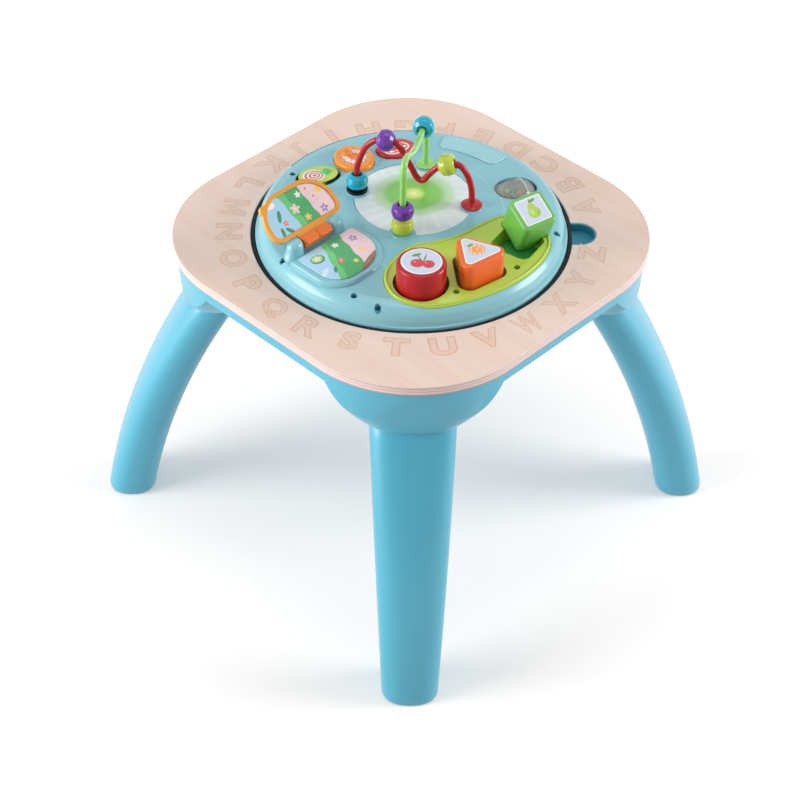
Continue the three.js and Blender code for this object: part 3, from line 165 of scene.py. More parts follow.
def settle(bm, gap=0.002):
    bmesh.ops.remove_doubles(bm, verts=bm.verts, dist=gap)
    bmesh.ops.dissolve_degenerate(bm, edges=bm.edges, dist=gap)
    bmesh.ops.recalc_face_normals(bm, faces=bm.faces)
    return bm


def lathe(profile, steps=96, closed=False):
    bm = bmesh.new()
    verts = [bm.verts.new((p[0], 0, p[1])) for p in profile]
    edges = [bm.edges.new(pair) for pair in zip(verts, verts[1:])]
    if closed:
        edges.append(bm.edges.new((verts[-1], verts[0])))
    bmesh.ops.spin(bm, geom=verts + edges, cent=(0, 0, 0), axis=(0, 0, 1), angle=2 * pi, steps=steps,
                   use_merge=True)
    return settle(bm)


def prism(outline, low, high, topEase=0, lowEase=0, segments=3):
    bm = bmesh.new()
    face = bm.faces.new([bm.verts.new((p[0], p[1], low)) for p in outline])
    grownUp = bmesh.ops.extrude_face_region(bm, geom=[face], use_keep_orig=True)
    lifted = [item for item in grownUp["geom"] if isinstance(item, bmesh.types.BMVert)]
    bmesh.ops.translate(bm, verts=lifted, vec=(0, 0, high - low))
    bmesh.ops.recalc_face_normals(bm, faces=bm.faces)
    for level, ease in ((high, topEase), (low, lowEase)):
        if ease:
            rim = [e for e in bm.edges if all(abs(v.co.z - level) < 0.001 for v in e.verts)]
            bmesh.ops.bevel(bm, geom=rim, offset=ease, segments=segments, profile=0.5, affect="EDGES",
                            material=-1)
    return bm


def loft(rings, capped=True):
    # level outlines with the same number of points, bridged one to the next
    bm = bmesh.new()
    loops = []
    for ring in rings:
        circle = bmesh.ops.create_circle(bm, segments=len(ring), radius=1)["verts"]
        for vert, point in zip(circle, ring):
            vert.co = point
        loops.append(circle)
    edgesOf = [[e for e in bm.edges if e.verts[0] in set(loop)] for loop in loops]
    for lower, upper in zip(edgesOf, edgesOf[1:]):
        bmesh.ops.bridge_loops(bm, edges=lower + upper)
    if capped:
        for loop in (loops[0], loops[-1]):
            bmesh.ops.contextual_create(bm, geom=loop)
    return settle(bm)


def placedOutline(outline, x, y, turn):
    spin = Matrix.Rotation(radians(turn), 2)
    return [Vector((x, y)) + spin @ p for p in outline]


def plug(x, y, halfX, low, high, steps, halfY=None, turn=0):
    # an upright round or oval body that cuts a hole
    return prism(placedOutline(ovalOutline(halfX, halfY or halfX, steps), x, y, turn), low, high)


def merged(*parts):
    bm = bmesh.new()
    for part in parts:
        copy = bpy.data.meshes.new("merging")
        part.to_mesh(copy)
        bm.from_mesh(copy)
        bpy.data.meshes.remove(copy)
        part.free()
    return bm


def moved(bm, matrix):
    bm.transform(matrix)
    if matrix.determinant() < 0:
        bmesh.ops.reverse_faces(bm, faces=bm.faces)
    return bm


def evaluated(blank):
    # the shape of an object with its modifiers or its curve worked out
    bpy.context.view_layer.update()
    result = bpy.data.meshes.new_from_object(blank.evaluated_get(bpy.context.evaluated_depsgraph_get()))
    bm = bmesh.new()
    bm.from_mesh(result)
    bpy.data.meshes.remove(result)
    return bm


def curveBody(curve):
    blank = bpy.data.objects.new("drawing", curve)
    bpy.context.scene.collection.objects.link(blank)
    bm = evaluated(blank)
    bpy.data.objects.remove(blank)
    bpy.data.curves.remove(curve)
    return bm


def carve(bm, tools, operation="DIFFERENCE"):
    # cuts, joins or crosses the body with each tool
    scene = bpy.context.scene
    made = []
    for body in [bm] + list(tools):
        mesh = bpy.data.meshes.new("carving")
        body.to_mesh(mesh)
        body.free()
        blank = bpy.data.objects.new("carving", mesh)
        scene.collection.objects.link(blank)
        made.append(blank)
    for tool in made[1:]:
        step = made[0].modifiers.new("carve", "BOOLEAN")
        step.operation = operation
        step.solver = "EXACT"
        step.object = tool
    out = evaluated(made[0])
    for blank in made:
        mesh = blank.data
        bpy.data.objects.remove(blank)
        bpy.data.meshes.remove(mesh)
    return settle(out, 0.01)


def tube(points, radius, sides=16, closed=False):
    curve = bpy.data.curves.new("tubing", "CURVE")
    curve.dimensions = "3D"
    spline = curve.splines.new("POLY")
    spline.points.add(len(points) - 1)
    for point, co in zip(spline.points, points):
        point.co = (*co, 1)
    spline.use_cyclic_u = closed
    curve.bevel_depth = radius
    curve.bevel_resolution = max(sides // 4 - 1, 0)
    curve.use_fill_caps = not closed
    return settle(curveBody(curve))


def makePiece(name, bm, finish, body, stands=(), place=onPanel, smooth=rimAngle, bevel=0,
              segments=3):
    # finish is one material, or several with a rule that gives each face its own
    bm.transform(Matrix.Scale(mm, 4) @ place)
    bmesh.ops.recalc_face_normals(bm, faces=bm.faces)
    finishes = finish if isinstance(finish, (list, tuple)) else [finish]
    mesh = bpy.data.meshes.new(name)
    for material in finishes:
        mesh.materials.append(material)
    bm.to_mesh(mesh)
    bm.free()
    mesh.shade_smooth()
    mesh.set_sharp_from_angle(angle=radians(smooth))
    piece = bpy.data.objects.new(name, mesh)
    bpy.context.scene.collection.objects.link(piece)
    if bevel:
        ease = piece.modifiers.new("eased rims", "BEVEL")
        ease.width = bevel * mm
        ease.segments = segments
        ease.limit_method = "ANGLE"
        ease.angle_limit = radians(rimAngle)
        ease.harden_normals = True
        ease.use_clamp_overlap = True
    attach(piece, body)
    if stands:
        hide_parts(*stands)
    return piece


# Materials

def shade(red, green, blue):
    def channel(value):
        value = value / 255
        return value / 12.92 if value <= 0.04045 else ((value + 0.055) / 1.055) ** 2.4
    return channel(red), channel(green), channel(blue), 1


def newGroup(name, inputs, outputs):
    group = bpy.data.node_groups.new(name, "ShaderNodeTree")
    for label, kind, value in inputs:
        socket = group.interface.new_socket(label, in_out="INPUT", socket_type="NodeSocket" + kind)
        if value is not None:
            socket.default_value = value
    for label, kind in outputs:
        group.interface.new_socket(label, in_out="OUTPUT", socket_type="NodeSocket" + kind)
    return group, Wiring(group)


class Wiring:
    # short ways to add and join nodes in one tree
    def __init__(self, tree):
        self.tree = tree

    def add(self, kind, values=None, **settings):
        node = self.tree.nodes.new("ShaderNode" + kind)
        for key, value in settings.items():
            setattr(node, key, value)
        for key, value in (values or {}).items():
            self.feed(value, node.inputs[key])
        return node

    def feed(self, value, socket):
        if isinstance(value, bpy.types.NodeSocket):
            self.tree.links.new(value, socket)
        else:
            socket.default_value = value

    def math(self, operation, a, b=0.0, c=0.0):
        return self.add("Math", {0: a, 1: b, 2: c}, operation=operation).outputs[0]

    def mix(self, share, a, b, kind="MIX"):
        node = self.add("Mix", data_type="RGBA", blend_type=kind, clamp_factor=True)
        for key, value in ((0, share), (6, a), (7, b)):
            self.feed(value, node.inputs[key])
        return node.outputs[2]

    def band(self, value, low, high):
        # 0 under low, 1 over high, smooth between
        node = self.add("MapRange", {"Value": value, "From Min": low, "From Max": high},
                        interpolation_type="SMOOTHSTEP")
        return node.outputs[0]

    def group(self, group, values):
        node = self.tree.nodes.new("ShaderNodeGroup")
        node.node_tree = group
        for key, value in values.items():
            self.feed(value, node.inputs[key])
        return node


def makeMouldedSkin():
    # moulded plastic: slight cloudiness, fine texture, soft scuffs
    group, w = newGroup("mouldedSkin", [
        ("Vector", "Vector", None), ("Colour", "Color", (0.5, 0.5, 0.5, 1)), ("Shift", "Float", 0.06),
        ("Roughness", "Float", 0.35), ("Scuff", "Float", 0.1), ("Texture", "Float", 700.0),
    ], [("Colour", "Color"), ("Roughness", "Float"), ("Height", "Float")])
    start = group.nodes.new("NodeGroupInput")
    end = group.nodes.new("NodeGroupOutput")
    cloud = w.add("TexNoise", {"Vector": start.outputs["Vector"], "Scale": 9.0, "Detail": 3.0})
    grain = w.add("TexNoise", {"Vector": start.outputs["Vector"], "Scale": start.outputs["Texture"],
                               "Detail": 2.0})
    stretch = w.add("VectorMath", {0: start.outputs["Vector"], 1: (40.0, 220.0, 130.0)}, operation="MULTIPLY")
    scuff = w.add("TexNoise", {"Vector": stretch.outputs[0], "Scale": 1.0, "Detail": 4.0, "Roughness": 0.7})
    scuffMask = w.math("MULTIPLY", w.band(scuff.outputs["Fac"], 0.68, 0.84), start.outputs["Scuff"])
    shift = w.math("MULTIPLY", w.math("SUBTRACT", cloud.outputs["Fac"], 0.5), start.outputs["Shift"])
    deep = w.mix(w.math("MULTIPLY_ADD", shift, 2.0, 0.03), start.outputs["Colour"], (0.0, 0.02, 0.04, 1))
    pale = w.mix(w.math("MULTIPLY", scuffMask, 0.3), deep, (1, 1, 1, 1))
    rough = w.math("ADD", start.outputs["Roughness"], w.math("MULTIPLY", scuffMask, 1.2))
    rough = w.math("ADD", rough, w.math("MULTIPLY", shift, 0.8))
    height = w.math("ADD", grain.outputs["Fac"], w.math("MULTIPLY", scuffMask, -0.6))
    w.feed(pale, end.inputs["Colour"])
    w.feed(rough, end.inputs["Roughness"])
    w.feed(height, end.inputs["Height"])
    return group


def makeShapeMask():
    # 1 inside an oval, or a flower of petals, that stands at a place in the picture
    group, w = newGroup("shapeMask", [
        ("Vector", "Vector", None), ("Place", "Vector", (0, 0, 0)), ("Size", "Vector", (1, 1, 1)),
        ("Turn", "Float", 0.0), ("Petals", "Float", 0.0), ("Depth", "Float", 0.0), ("Soft", "Float", 0.04),
    ], [("Mask", "Float")])
    start = group.nodes.new("NodeGroupInput")
    end = group.nodes.new("NodeGroupOutput")
    shifted = w.add("VectorMath", {0: start.outputs["Vector"], 1: start.outputs["Place"]},
                    operation="SUBTRACT")
    turned = w.add("VectorRotate", {"Vector": shifted.outputs[0], "Angle": start.outputs["Turn"]},
                   rotation_type="Z_AXIS")
    scaled = w.add("VectorMath", {0: turned.outputs[0], 1: start.outputs["Size"]}, operation="DIVIDE")
    parts = w.add("SeparateXYZ", {0: scaled.outputs[0]})
    squared = w.math("ADD", w.math("POWER", parts.outputs[0], 2.0), w.math("POWER", parts.outputs[1], 2.0))
    reach = w.math("SQRT", squared)
    angle = w.math("ARCTAN2", parts.outputs[1], parts.outputs[0])
    wave = w.math("COSINE", w.math("MULTIPLY", angle, start.outputs["Petals"]))
    edge = w.math("MULTIPLY_ADD", wave, start.outputs["Depth"], 1.0)
    inside = w.math("SUBTRACT", edge, reach)
    share = w.math("DIVIDE", inside, start.outputs["Soft"])
    w.feed(w.add("Clamp", {"Value": w.math("ADD", share, 0.5)}).outputs[0], end.inputs["Mask"])
    return group


def makeHillMask():
    # 1 under a wavy line that crosses the picture
    group, w = newGroup("hillMask", [
        ("Vector", "Vector", None), ("Level", "Float", 0.0), ("Wave", "Float", 2.0),
        ("Length", "Float", 20.0),
        ("Start", "Float", 0.0), ("Turn", "Float", 0.0), ("Soft", "Float", 0.6),
    ], [("Mask", "Float")])
    start = group.nodes.new("NodeGroupInput")
    end = group.nodes.new("NodeGroupOutput")
    turned = w.add("VectorRotate", {"Vector": start.outputs["Vector"], "Angle": start.outputs["Turn"]},
                   rotation_type="Z_AXIS")
    parts = w.add("SeparateXYZ", {0: turned.outputs[0]})
    phase = w.math("ADD", w.math("DIVIDE", parts.outputs[0], start.outputs["Length"]), start.outputs["Start"])
    line = w.math("MULTIPLY_ADD", w.math("SINE", phase), start.outputs["Wave"], start.outputs["Level"])
    share = w.math("DIVIDE", w.math("SUBTRACT", line, parts.outputs[1]), start.outputs["Soft"])
    w.feed(w.add("Clamp", {"Value": w.math("ADD", share, 0.5)}).outputs[0], end.inputs["Mask"])
    return group


def makeInkPattern():
    # printed fill: stripes, dots or crossed lines by three shares
    group, w = newGroup("inkPattern", [
        ("Vector", "Vector", None), ("Stripes", "Float", 0.0), ("Dots", "Float", 0.0), ("Net", "Float", 0.0),
        ("Pitch", "Float", 2.6),
    ], [("Mask", "Float")])
    start = group.nodes.new("NodeGroupInput")
    end = group.nodes.new("NodeGroupOutput")
    scaled = w.add("VectorMath", {0: start.outputs["Vector"],
                                  "Scale": w.math("DIVIDE", 1000.0, start.outputs["Pitch"])},
                                  operation="SCALE")
    parts = w.add("SeparateXYZ", {0: scaled.outputs[0]})
    slant = w.math("ADD", parts.outputs[0], parts.outputs[1])
    other = w.math("SUBTRACT", parts.outputs[0], parts.outputs[1])
    lineA = w.band(w.math("COSINE", w.math("MULTIPLY", slant, pi)), 0.25, 0.6)
    lineB = w.band(w.math("COSINE", w.math("MULTIPLY", other, pi)), 0.72, 0.95)
    lineC = w.band(w.math("COSINE", w.math("MULTIPLY", slant, pi)), 0.72, 0.95)
    net = w.math("MAXIMUM", lineB, lineC)
    dots = w.math("MULTIPLY", w.math("COSINE", w.math("MULTIPLY", slant, pi)),
                  w.math("COSINE", w.math("MULTIPLY", other, pi)))
    dots = w.band(dots, 0.3, 0.55)
    total = w.math("MULTIPLY", lineA, start.outputs["Stripes"])
    total = w.math("MULTIPLY_ADD", dots, start.outputs["Dots"], total)
    total = w.math("MULTIPLY_ADD", net, start.outputs["Net"], total)
    w.feed(total, end.inputs["Mask"])
    return group


skinGroup = makeMouldedSkin()
shapeGroup = makeShapeMask()
hillGroup = makeHillMask()
inkGroup = makeInkPattern()


def startMaterial(name):
    material = bpy.data.materials.new(name)
    material.use_nodes = True
    tree = material.node_tree
    shader = tree.nodes["Principled BSDF"]
    w = Wiring(tree)
    place = w.add("TexCoord").outputs["Object"]
    return material, w, shader, place


def seenRays(w):
    # 1 where the camera, a reflection or a clear part looks on
    paths = w.add("LightPath").outputs
    behind = w.math("MAXIMUM", paths["Is Glossy Ray"], paths["Is Transmission Ray"])
    return w.math("MAXIMUM", paths["Is Camera Ray"], behind)


def bump(w, shader, height, strength, distance):
    node = w.add("Bump", {"Height": height, "Strength": strength, "Distance": distance})
    w.feed(node.outputs[0], shader.inputs["Normal"])


def plastic(name, colour, roughness=0.32, coat=0.15, texture=700.0, grain=0.04, shift=0.06, scuff=0.1,
            glow=0.0, clear=1.0,
            shine=0.35, sheen=0.0):
    material, w, shader, place = startMaterial(name)
    skin = w.group(skinGroup, {"Vector": place, "Colour": shade(*colour), "Roughness": roughness,
                               "Shift": shift,
                               "Scuff": scuff, "Texture": texture})
    w.feed(skin.outputs["Colour"], shader.inputs["Base Color"])
    w.feed(skin.outputs["Roughness"], shader.inputs["Roughness"])
    shader.inputs["Coat Weight"].default_value = coat
    shader.inputs["Coat Roughness"].default_value = 0.08
    shader.inputs["Specular IOR Level"].default_value = shine
    shader.inputs["Sheen Weight"].default_value = sheen
    shader.inputs["Sheen Roughness"].default_value = 0.4
    shader.inputs["Alpha"].default_value = clear
    if glow:
        shader.inputs["Subsurface Weight"].default_value = glow
        shader.inputs["Subsurface Scale"].default_value = 0.004
    bump(w, shader, skin.outputs["Height"], 1.0, grain * mm)
    return material


def metal(name, colour, roughness=0.3):
    material, w, shader, place = startMaterial(name)
    stretch = w.add("VectorMath", {0: place, 1: (900.0, 900.0, 60.0)}, operation="MULTIPLY")
    lines = w.add("TexNoise", {"Vector": stretch.outputs[0], "Scale": 1.0, "Detail": 3.0})
    cloud = w.add("TexNoise", {"Vector": place, "Scale": 120.0, "Detail": 4.0})
    tint = w.mix(w.band(cloud.outputs["Fac"], 0.35, 0.75), shade(*colour), shade(*(0.8 * c for c in colour)))
    w.feed(tint, shader.inputs["Base Color"])
    w.feed(w.math("MULTIPLY_ADD", lines.outputs["Fac"], 0.25, roughness - 0.1), shader.inputs["Roughness"])
    shader.inputs["Metallic"].default_value = 0.95
    bump(w, shader, lines.outputs["Fac"], 0.5, 0.02 * mm)
    return material


def picture(name, place, ground, layers, roughness=0.3, speckle=None):
    # a printed film: flat shapes laid one over another, in millimetres of its own frame
    material, w, shader, coords = startMaterial(name)
    sheet = w.add("Mapping", {"Vector": coords, "Location": place.translation * mm,
                              "Rotation": place.to_euler(),
                              "Scale": (mm, mm, mm)}, vector_type="TEXTURE").outputs[0]
    colour = shade(*ground)
    if speckle:
        mask = w.group(inkGroup, {"Vector": coords, "Dots": 0.7, "Pitch": 1.3}).outputs[0]
        colour = w.mix(mask, colour, shade(*speckle))
    for kind, tint, values in layers:
        group = hillGroup if kind == "hill" else shapeGroup
        mask = w.group(group, {"Vector": sheet, **values}).outputs[0]
        colour = w.mix(mask, colour, shade(*tint))
    grain = w.add("TexNoise", {"Vector": coords, "Scale": 1500.0, "Detail": 2.0})
    cloud = w.add("TexNoise", {"Vector": coords, "Scale": 60.0, "Detail": 3.0})
    colour = w.mix(w.math("MULTIPLY", cloud.outputs["Fac"], 0.06), colour, (1, 1, 1, 1))
    w.feed(colour, shader.inputs["Base Color"])
    w.feed(w.math("MULTIPLY_ADD", grain.outputs["Fac"], 0.15, roughness - 0.07), shader.inputs["Roughness"])
    shader.inputs["Coat Weight"].default_value = 0.25
    shader.inputs["Coat Roughness"].default_value = 0.15
    bump(w, shader, grain.outputs["Fac"], 0.6, 0.02 * mm)
    return material


def disc(x, y, rx, ry=None, turn=0, petals=0, depth=0, soft=None):
    ry = rx if ry is None else ry
    return {"Place": (x, y, 0), "Size": (rx, ry, 1), "Turn": radians(-turn), "Petals": float(petals),
            "Depth": depth,
            "Soft": soft or 0.5 / max(min(rx, ry), 0.5)}


def blob(tint, *size, **look):
    return "shape", tint, disc(*size, **look)


def bank(tint, level, wave, length, start=0.0, turn=0):
    # the colour under a wavy line
    return "hill", tint, {"Level": level, "Wave": wave, "Length": length, "Start": start,
                          "Turn": radians(-turn)}


framePlastic = plastic("frame plastic", (64, 170, 197), roughness=0.36, coat=0.1, texture=900, grain=0.05,
                       shine=0.7, sheen=0.3)
shellPlastic = plastic("shell plastic", (138, 198, 210), roughness=0.24, coat=0.2)
platePlastic = plastic("plate plastic", (158, 211, 221), roughness=0.3, coat=0.2)
# teal darker than the frame plastic: partly the cups' own colour, partly painted shade for the notch and the
# small holes
shadedCupPlastic = plastic("cup plastic", (62, 150, 172), roughness=0.4, coat=0.0)
limePlastic = plastic("lime plastic", (184, 211, 78), roughness=0.26, coat=0.25)
# a darker copy of the lime plastic: painted shade for the cups under the tray's holes
limeShade = plastic("lime shade plastic", (104, 142, 52), roughness=0.4, coat=0.0)
brightGreenPlastic = plastic("bright green plastic", (88, 198, 112), roughness=0.3)
redPlastic = plastic("red plastic", (182, 26, 36), roughness=0.24, coat=0.1, shine=0.28)
orangePlastic = plastic("orange plastic", (240, 104, 32), roughness=0.24, coat=0.2)
amberPlastic = plastic("amber plastic", (240, 142, 34), roughness=0.24, coat=0.2)
leafPlastic = plastic("leaf green plastic", (112, 188, 84), roughness=0.26, coat=0.2)
wireGreenPlastic = plastic("green wire plastic", (146, 212, 108), roughness=0.2, coat=0.3, glow=0.12)
purpleGloss = plastic("purple gloss", (104, 44, 158), roughness=0.14, coat=0.35, grain=0.01, scuff=0.04)
tealGloss = plastic("teal gloss", (0, 168, 196), roughness=0.14, coat=0.35, grain=0.01, scuff=0.04)
limeGloss = plastic("lime gloss", (190, 206, 60), roughness=0.14, coat=0.35, grain=0.01, scuff=0.04,
                    glow=0.25)
frameOrange = plastic("book frame plastic", (234, 162, 62), roughness=0.26, coat=0.2)
drumOrange = plastic("book drum plastic", (240, 118, 36), roughness=0.24, coat=0.25)
# black; on the gap ring it is also painted shade for the deep gap round the panel
blackRubberAndGapShade = plastic("black rubber and gap shade", (5, 9, 12), roughness=0.45, coat=0.0, texture=1400, grain=0.08,
                      shine=0.2)
darkPlastic = plastic("dark plastic", (58, 64, 70), roughness=0.45, coat=0.0, texture=1200, grain=0.06)
circuitFinish = plastic("circuit lacquer", (34, 108, 66), roughness=0.4, coat=0.3, texture=2400, grain=0.05)
siliconeFinish = plastic("silicone", (226, 226, 216), roughness=0.6, coat=0.0, glow=0.2)
clearPlastic = plastic("clear plastic", (222, 232, 226), roughness=0.06, coat=0.6, grain=0.005,
                       scuff=0.03, clear=0.2)
troughPlastic = plastic("trough plastic", (224, 232, 228), roughness=0.4, coat=0.0)
whiteFilm = plastic("white film", (244, 246, 246), roughness=0.3, coat=0.1, texture=1800, grain=0.02)
steelFinish = metal("zinc steel", (196, 198, 202))
print("plastics mixed")


def laminateMaterial(name, colour, ink=None, kind=None, depth=0.0):
    # pale printed laminate with a very faint wood figure; ink prints a pattern over it
    material, w, shader, coords = startMaterial(name)
    stretch = w.add("VectorMath", {0: coords, 1: (5.0, 60.0, 60.0)}, operation="MULTIPLY")
    figure = w.add("TexNoise", {"Vector": stretch.outputs[0], "Scale": 1.0, "Detail": 5.0, "Distortion": 0.6})
    fleck = w.add("VectorMath", {0: coords, 1: (90.0, 900.0, 900.0)}, operation="MULTIPLY")
    flecks = w.add("TexNoise", {"Vector": fleck.outputs[0], "Scale": 1.0, "Detail": 2.0})
    cloud = w.add("TexNoise", {"Vector": coords, "Scale": 7.0, "Detail": 3.0})
    tint = w.mix(w.math("MULTIPLY", w.band(figure.outputs["Fac"], 0.35, 0.75), 0.55), shade(*colour),
                 shade(colour[0] - 8, colour[1] - 14, colour[2] - 18))
    tint = w.mix(w.math("MULTIPLY", w.band(flecks.outputs["Fac"], 0.6, 0.8), 0.18), tint,
                 shade(214, 184, 168))
    tint = w.mix(w.math("MULTIPLY", w.band(cloud.outputs["Fac"], 0.4, 0.7), 0.22), tint, shade(243, 224, 212))
    if ink:
        mask = w.group(inkGroup, {"Vector": coords, **kind}).outputs[0]
        tint = w.mix(w.math("MULTIPLY_ADD", mask, depth, 0.2), tint, shade(*ink))
    w.feed(tint, shader.inputs["Base Color"])
    w.feed(w.math("MULTIPLY_ADD", flecks.outputs["Fac"], 0.12, 0.36), shader.inputs["Roughness"])
    shader.inputs["Coat Weight"].default_value = 0.12
    shader.inputs["Coat Roughness"].default_value = 0.25
    bump(w, shader, figure.outputs["Fac"], 0.6, 0.02 * mm)
    return material


def edgeMaterial(name):
    # the board's edge: darker pinkish bands at fixed heights, over a faint fibre
    material, w, shader, coords = startMaterial(name)
    height = w.add("SeparateXYZ", {0: coords}).outputs[2]
    wobble = w.add("TexNoise", {"Vector": coords, "Scale": 40.0, "Detail": 3.0})
    level = w.math("ADD", height, w.math("MULTIPLY", w.math("SUBTRACT", wobble.outputs["Fac"], 0.5), 0.0006))
    colour = shade(228, 208, 203)
    for low, high, tint in ((0.3883, 0.3901, (184, 146, 146)), (0.3936, 0.3944, (206, 176, 170)),
                            (0.3976, 0.3984, (202, 160, 144))):
        inside = w.math("MULTIPLY", w.band(level, low - 0.0003, low),
                        w.math("SUBTRACT", 1.0, w.band(level, high, high + 0.0003)))
        colour = w.mix(inside, colour, shade(*tint))
    stretch = w.add("VectorMath", {0: coords, 1: (120.0, 120.0, 900.0)}, operation="MULTIPLY")
    fibre = w.add("TexNoise", {"Vector": stretch.outputs[0], "Scale": 1.0, "Detail": 3.0})
    colour = w.mix(w.math("MULTIPLY", w.band(fibre.outputs["Fac"], 0.45, 0.8), 0.3), colour,
                   shade(214, 186, 176))
    w.feed(colour, shader.inputs["Base Color"])
    w.feed(w.math("MULTIPLY_ADD", fibre.outputs["Fac"], 0.2, 0.4), shader.inputs["Roughness"])
    bump(w, shader, fibre.outputs["Fac"], 0.6, 0.04 * mm)
    return material


boardColour = (236, 211, 197)
inkColour = (216, 174, 148)
boardFinish = laminateMaterial("board laminate", boardColour)
boardEdge = edgeMaterial("board edge")
inkLine = laminateMaterial("letter outline", (219, 180, 155), inkColour, {"Dots": 0.0}, 0.3)
inkKinds = [{"Dots": 1.0, "Pitch": 2.4}, {"Stripes": 1.0, "Pitch": 2.6}, {"Net": 1.0, "Pitch": 3.0},
            {"Stripes": 1.0, "Pitch": 1.9}, {"Dots": 1.0, "Pitch": 3.4}]
inkFills = [laminateMaterial(f"letter fill {k + 1}", boardColour, inkColour, kind, 0.42) for k,
            kind in enumerate(inkKinds)]


# Wooden top

board = {"half": 240, "corner": 148, "thickness": 12, "hole": 187, "notchReach": 215, "notchHalf": 21,
         "notchTurn": 43.5, "ease": 1.3}


def makeBoard():
    low = tableTop - board["thickness"]
    blank = prism(roundedOutline(board["half"], board["half"], board["corner"], 32), low, tableTop)
    hole = prism(ovalOutline(board["hole"], board["hole"], 192), low - 5, tableTop + 5)
    half, reach = board["notchHalf"], board["notchReach"] - board["notchHalf"]
    mouth = [Vector((board["hole"] - 30, -half))]
    mouth += [Vector((reach, 0)) + Vector(polar(half, -90 + 180 * k / 24)) for k in range(25)]
    mouth += [Vector((board["hole"] - 30, half))]
    notch = moved(prism(mouth, low - 5, tableTop + 5), Matrix.Rotation(radians(board["notchTurn"]), 4, "Z"))
    bm = carve(blank, [hole, notch])
    for face in bm.faces:
        face.material_index = 1 if abs(face.normal.z) < 0.5 else 0
    piece = makePiece("wooden_top", bm, [boardFinish, boardEdge], "table", ["tabletop_board"],
                      world,
                      bevel=board["ease"], segments=3)
    piece.modifiers["eased rims"].material = 1
    return piece


makeBoard()
print("board made")

letters = {"marks": ((0, 13.0), (13, 181.1), (19, 264.6), (25, 348.5)), "reach": 211.5, "tall": 30,
           "widest": 30,
           "weight": 0.045, "thinOnes": "BGRW", "thinWeight": 0.024}
blockM = [(0, 0), (0, 1), (0.26, 1), (0.5, 0.5), (0.74, 1), (1, 1), (1, 0), (0.76, 0), (0.76, 0.52),
          (0.5, 0.04), (0.24, 0.52),
          (0.24, 0)]


def letterAngle(place):
    # angles between two marks are shared out evenly
    for (first, start), (last, end) in zip(letters["marks"], letters["marks"][1:]):
        if place <= last:
            return start + (end - start) * (place - first) / (last - first)


def letterMesh(character, outline):
    if character == "M":
        points = [Vector((0.73 * x, 0.73 * y, 0)) for x, y in blockM]
        return tube(points, 0.016, 8, closed=True) if outline else prism(points, 0, 0.004)
    text = bpy.data.curves.new("lettering", "FONT")
    text.body = character
    text.align_x = "CENTER"
    text.align_y = "CENTER"
    text.size = 1
    text.offset = letters["thinWeight" if character in letters["thinOnes"] else "weight"]
    text.resolution_u = 5
    if outline:
        text.fill_mode = "NONE"
        text.bevel_depth = 0.016
        text.bevel_resolution = 0
    else:
        text.extrude = 0.004
    bm = curveBody(text)
    bmesh.ops.remove_doubles(bm, verts=bm.verts, dist=0.0005)
    return bm


def extent(bm, axis):
    values = [v.co[axis] for v in bm.verts]
    return min(values), max(values)


def makeLetters():
    fills = [[] for kind in inkKinds]
    lines = []
    for k in range(26):
        character = chr(ord("A") + k)
        angle = letterAngle(k)
        solidLetter = letterMesh(character, False)
        lineLetter = letterMesh(character, True)
        low, high = extent(solidLetter, 1)
        left, right = extent(solidLetter, 0)
        scale = letters["tall"] / (high - low)
        wide = min(scale * 1.12, letters["widest"] / (right - left))
        centre = Matrix.Translation((-(left + right) / 2, -(low + high) / 2, 0))
        x, y = polar(letters["reach"], angle)
        spot = at(x, y, 0, angle + 90)
        for bm, lift, thin, shelf in ((solidLetter, 0.02, 6, fills[k % len(fills)]),
                                      (lineLetter, 0.05, 3, lines)):
            size = Matrix.Diagonal((wide, scale, thin, 1))
            shelf.append(moved(bm, Matrix.Translation((0, 0, lift)) @ spot @ size @ centre))
    for k, shelf in enumerate(fills):
        makePiece(f"letters_fill_{k + 1}", merged(*shelf), inkFills[k], "table")
    makePiece("letters_outline", merged(*lines), inkLine, "table")


makeLetters()
print("letters printed")


# Frame under the top, with its corner bowls

support = {"inset": 5, "deck": 3, "skirt": 16, "wall": 3, "wellRadius": 183.5, "wellWall": 3,
           "wellFloor": 366.7,
           "wellFloorTop": 369.7, "wellHole": 131.5, "deckTop": 387.7, "seam": 317.7, "legReach": 228.1,
           "bowlHalf": 104, "bowlFoot": 51, "outer": 45, "inner": 50, "foot": 33.5, "curve": 1.3,
           "squareness": (2.5, 3.2)}


def bowlRings(levels=20):
    rings = []
    top = support["deckTop"] - 1
    few, many = support["squareness"]
    for level in range(levels + 1):
        height = support["seam"] + (top - support["seam"]) * level / levels
        share = (support["deckTop"] - height) / (support["deckTop"] - support["seam"])
        swell = max(1 - share ** support["curve"], 0) ** (1 / support["curve"])
        half = support["bowlFoot"] + (support["bowlHalf"] - support["bowlFoot"]) * swell
        outer = support["foot"] + (support["outer"] - support["foot"]) * swell
        inner = support["foot"] + (support["inner"] - support["foot"]) * swell
        rings.append(squareOval(support["legReach"], outer, inner, half, few + (many - few) * swell, height))
    return rings


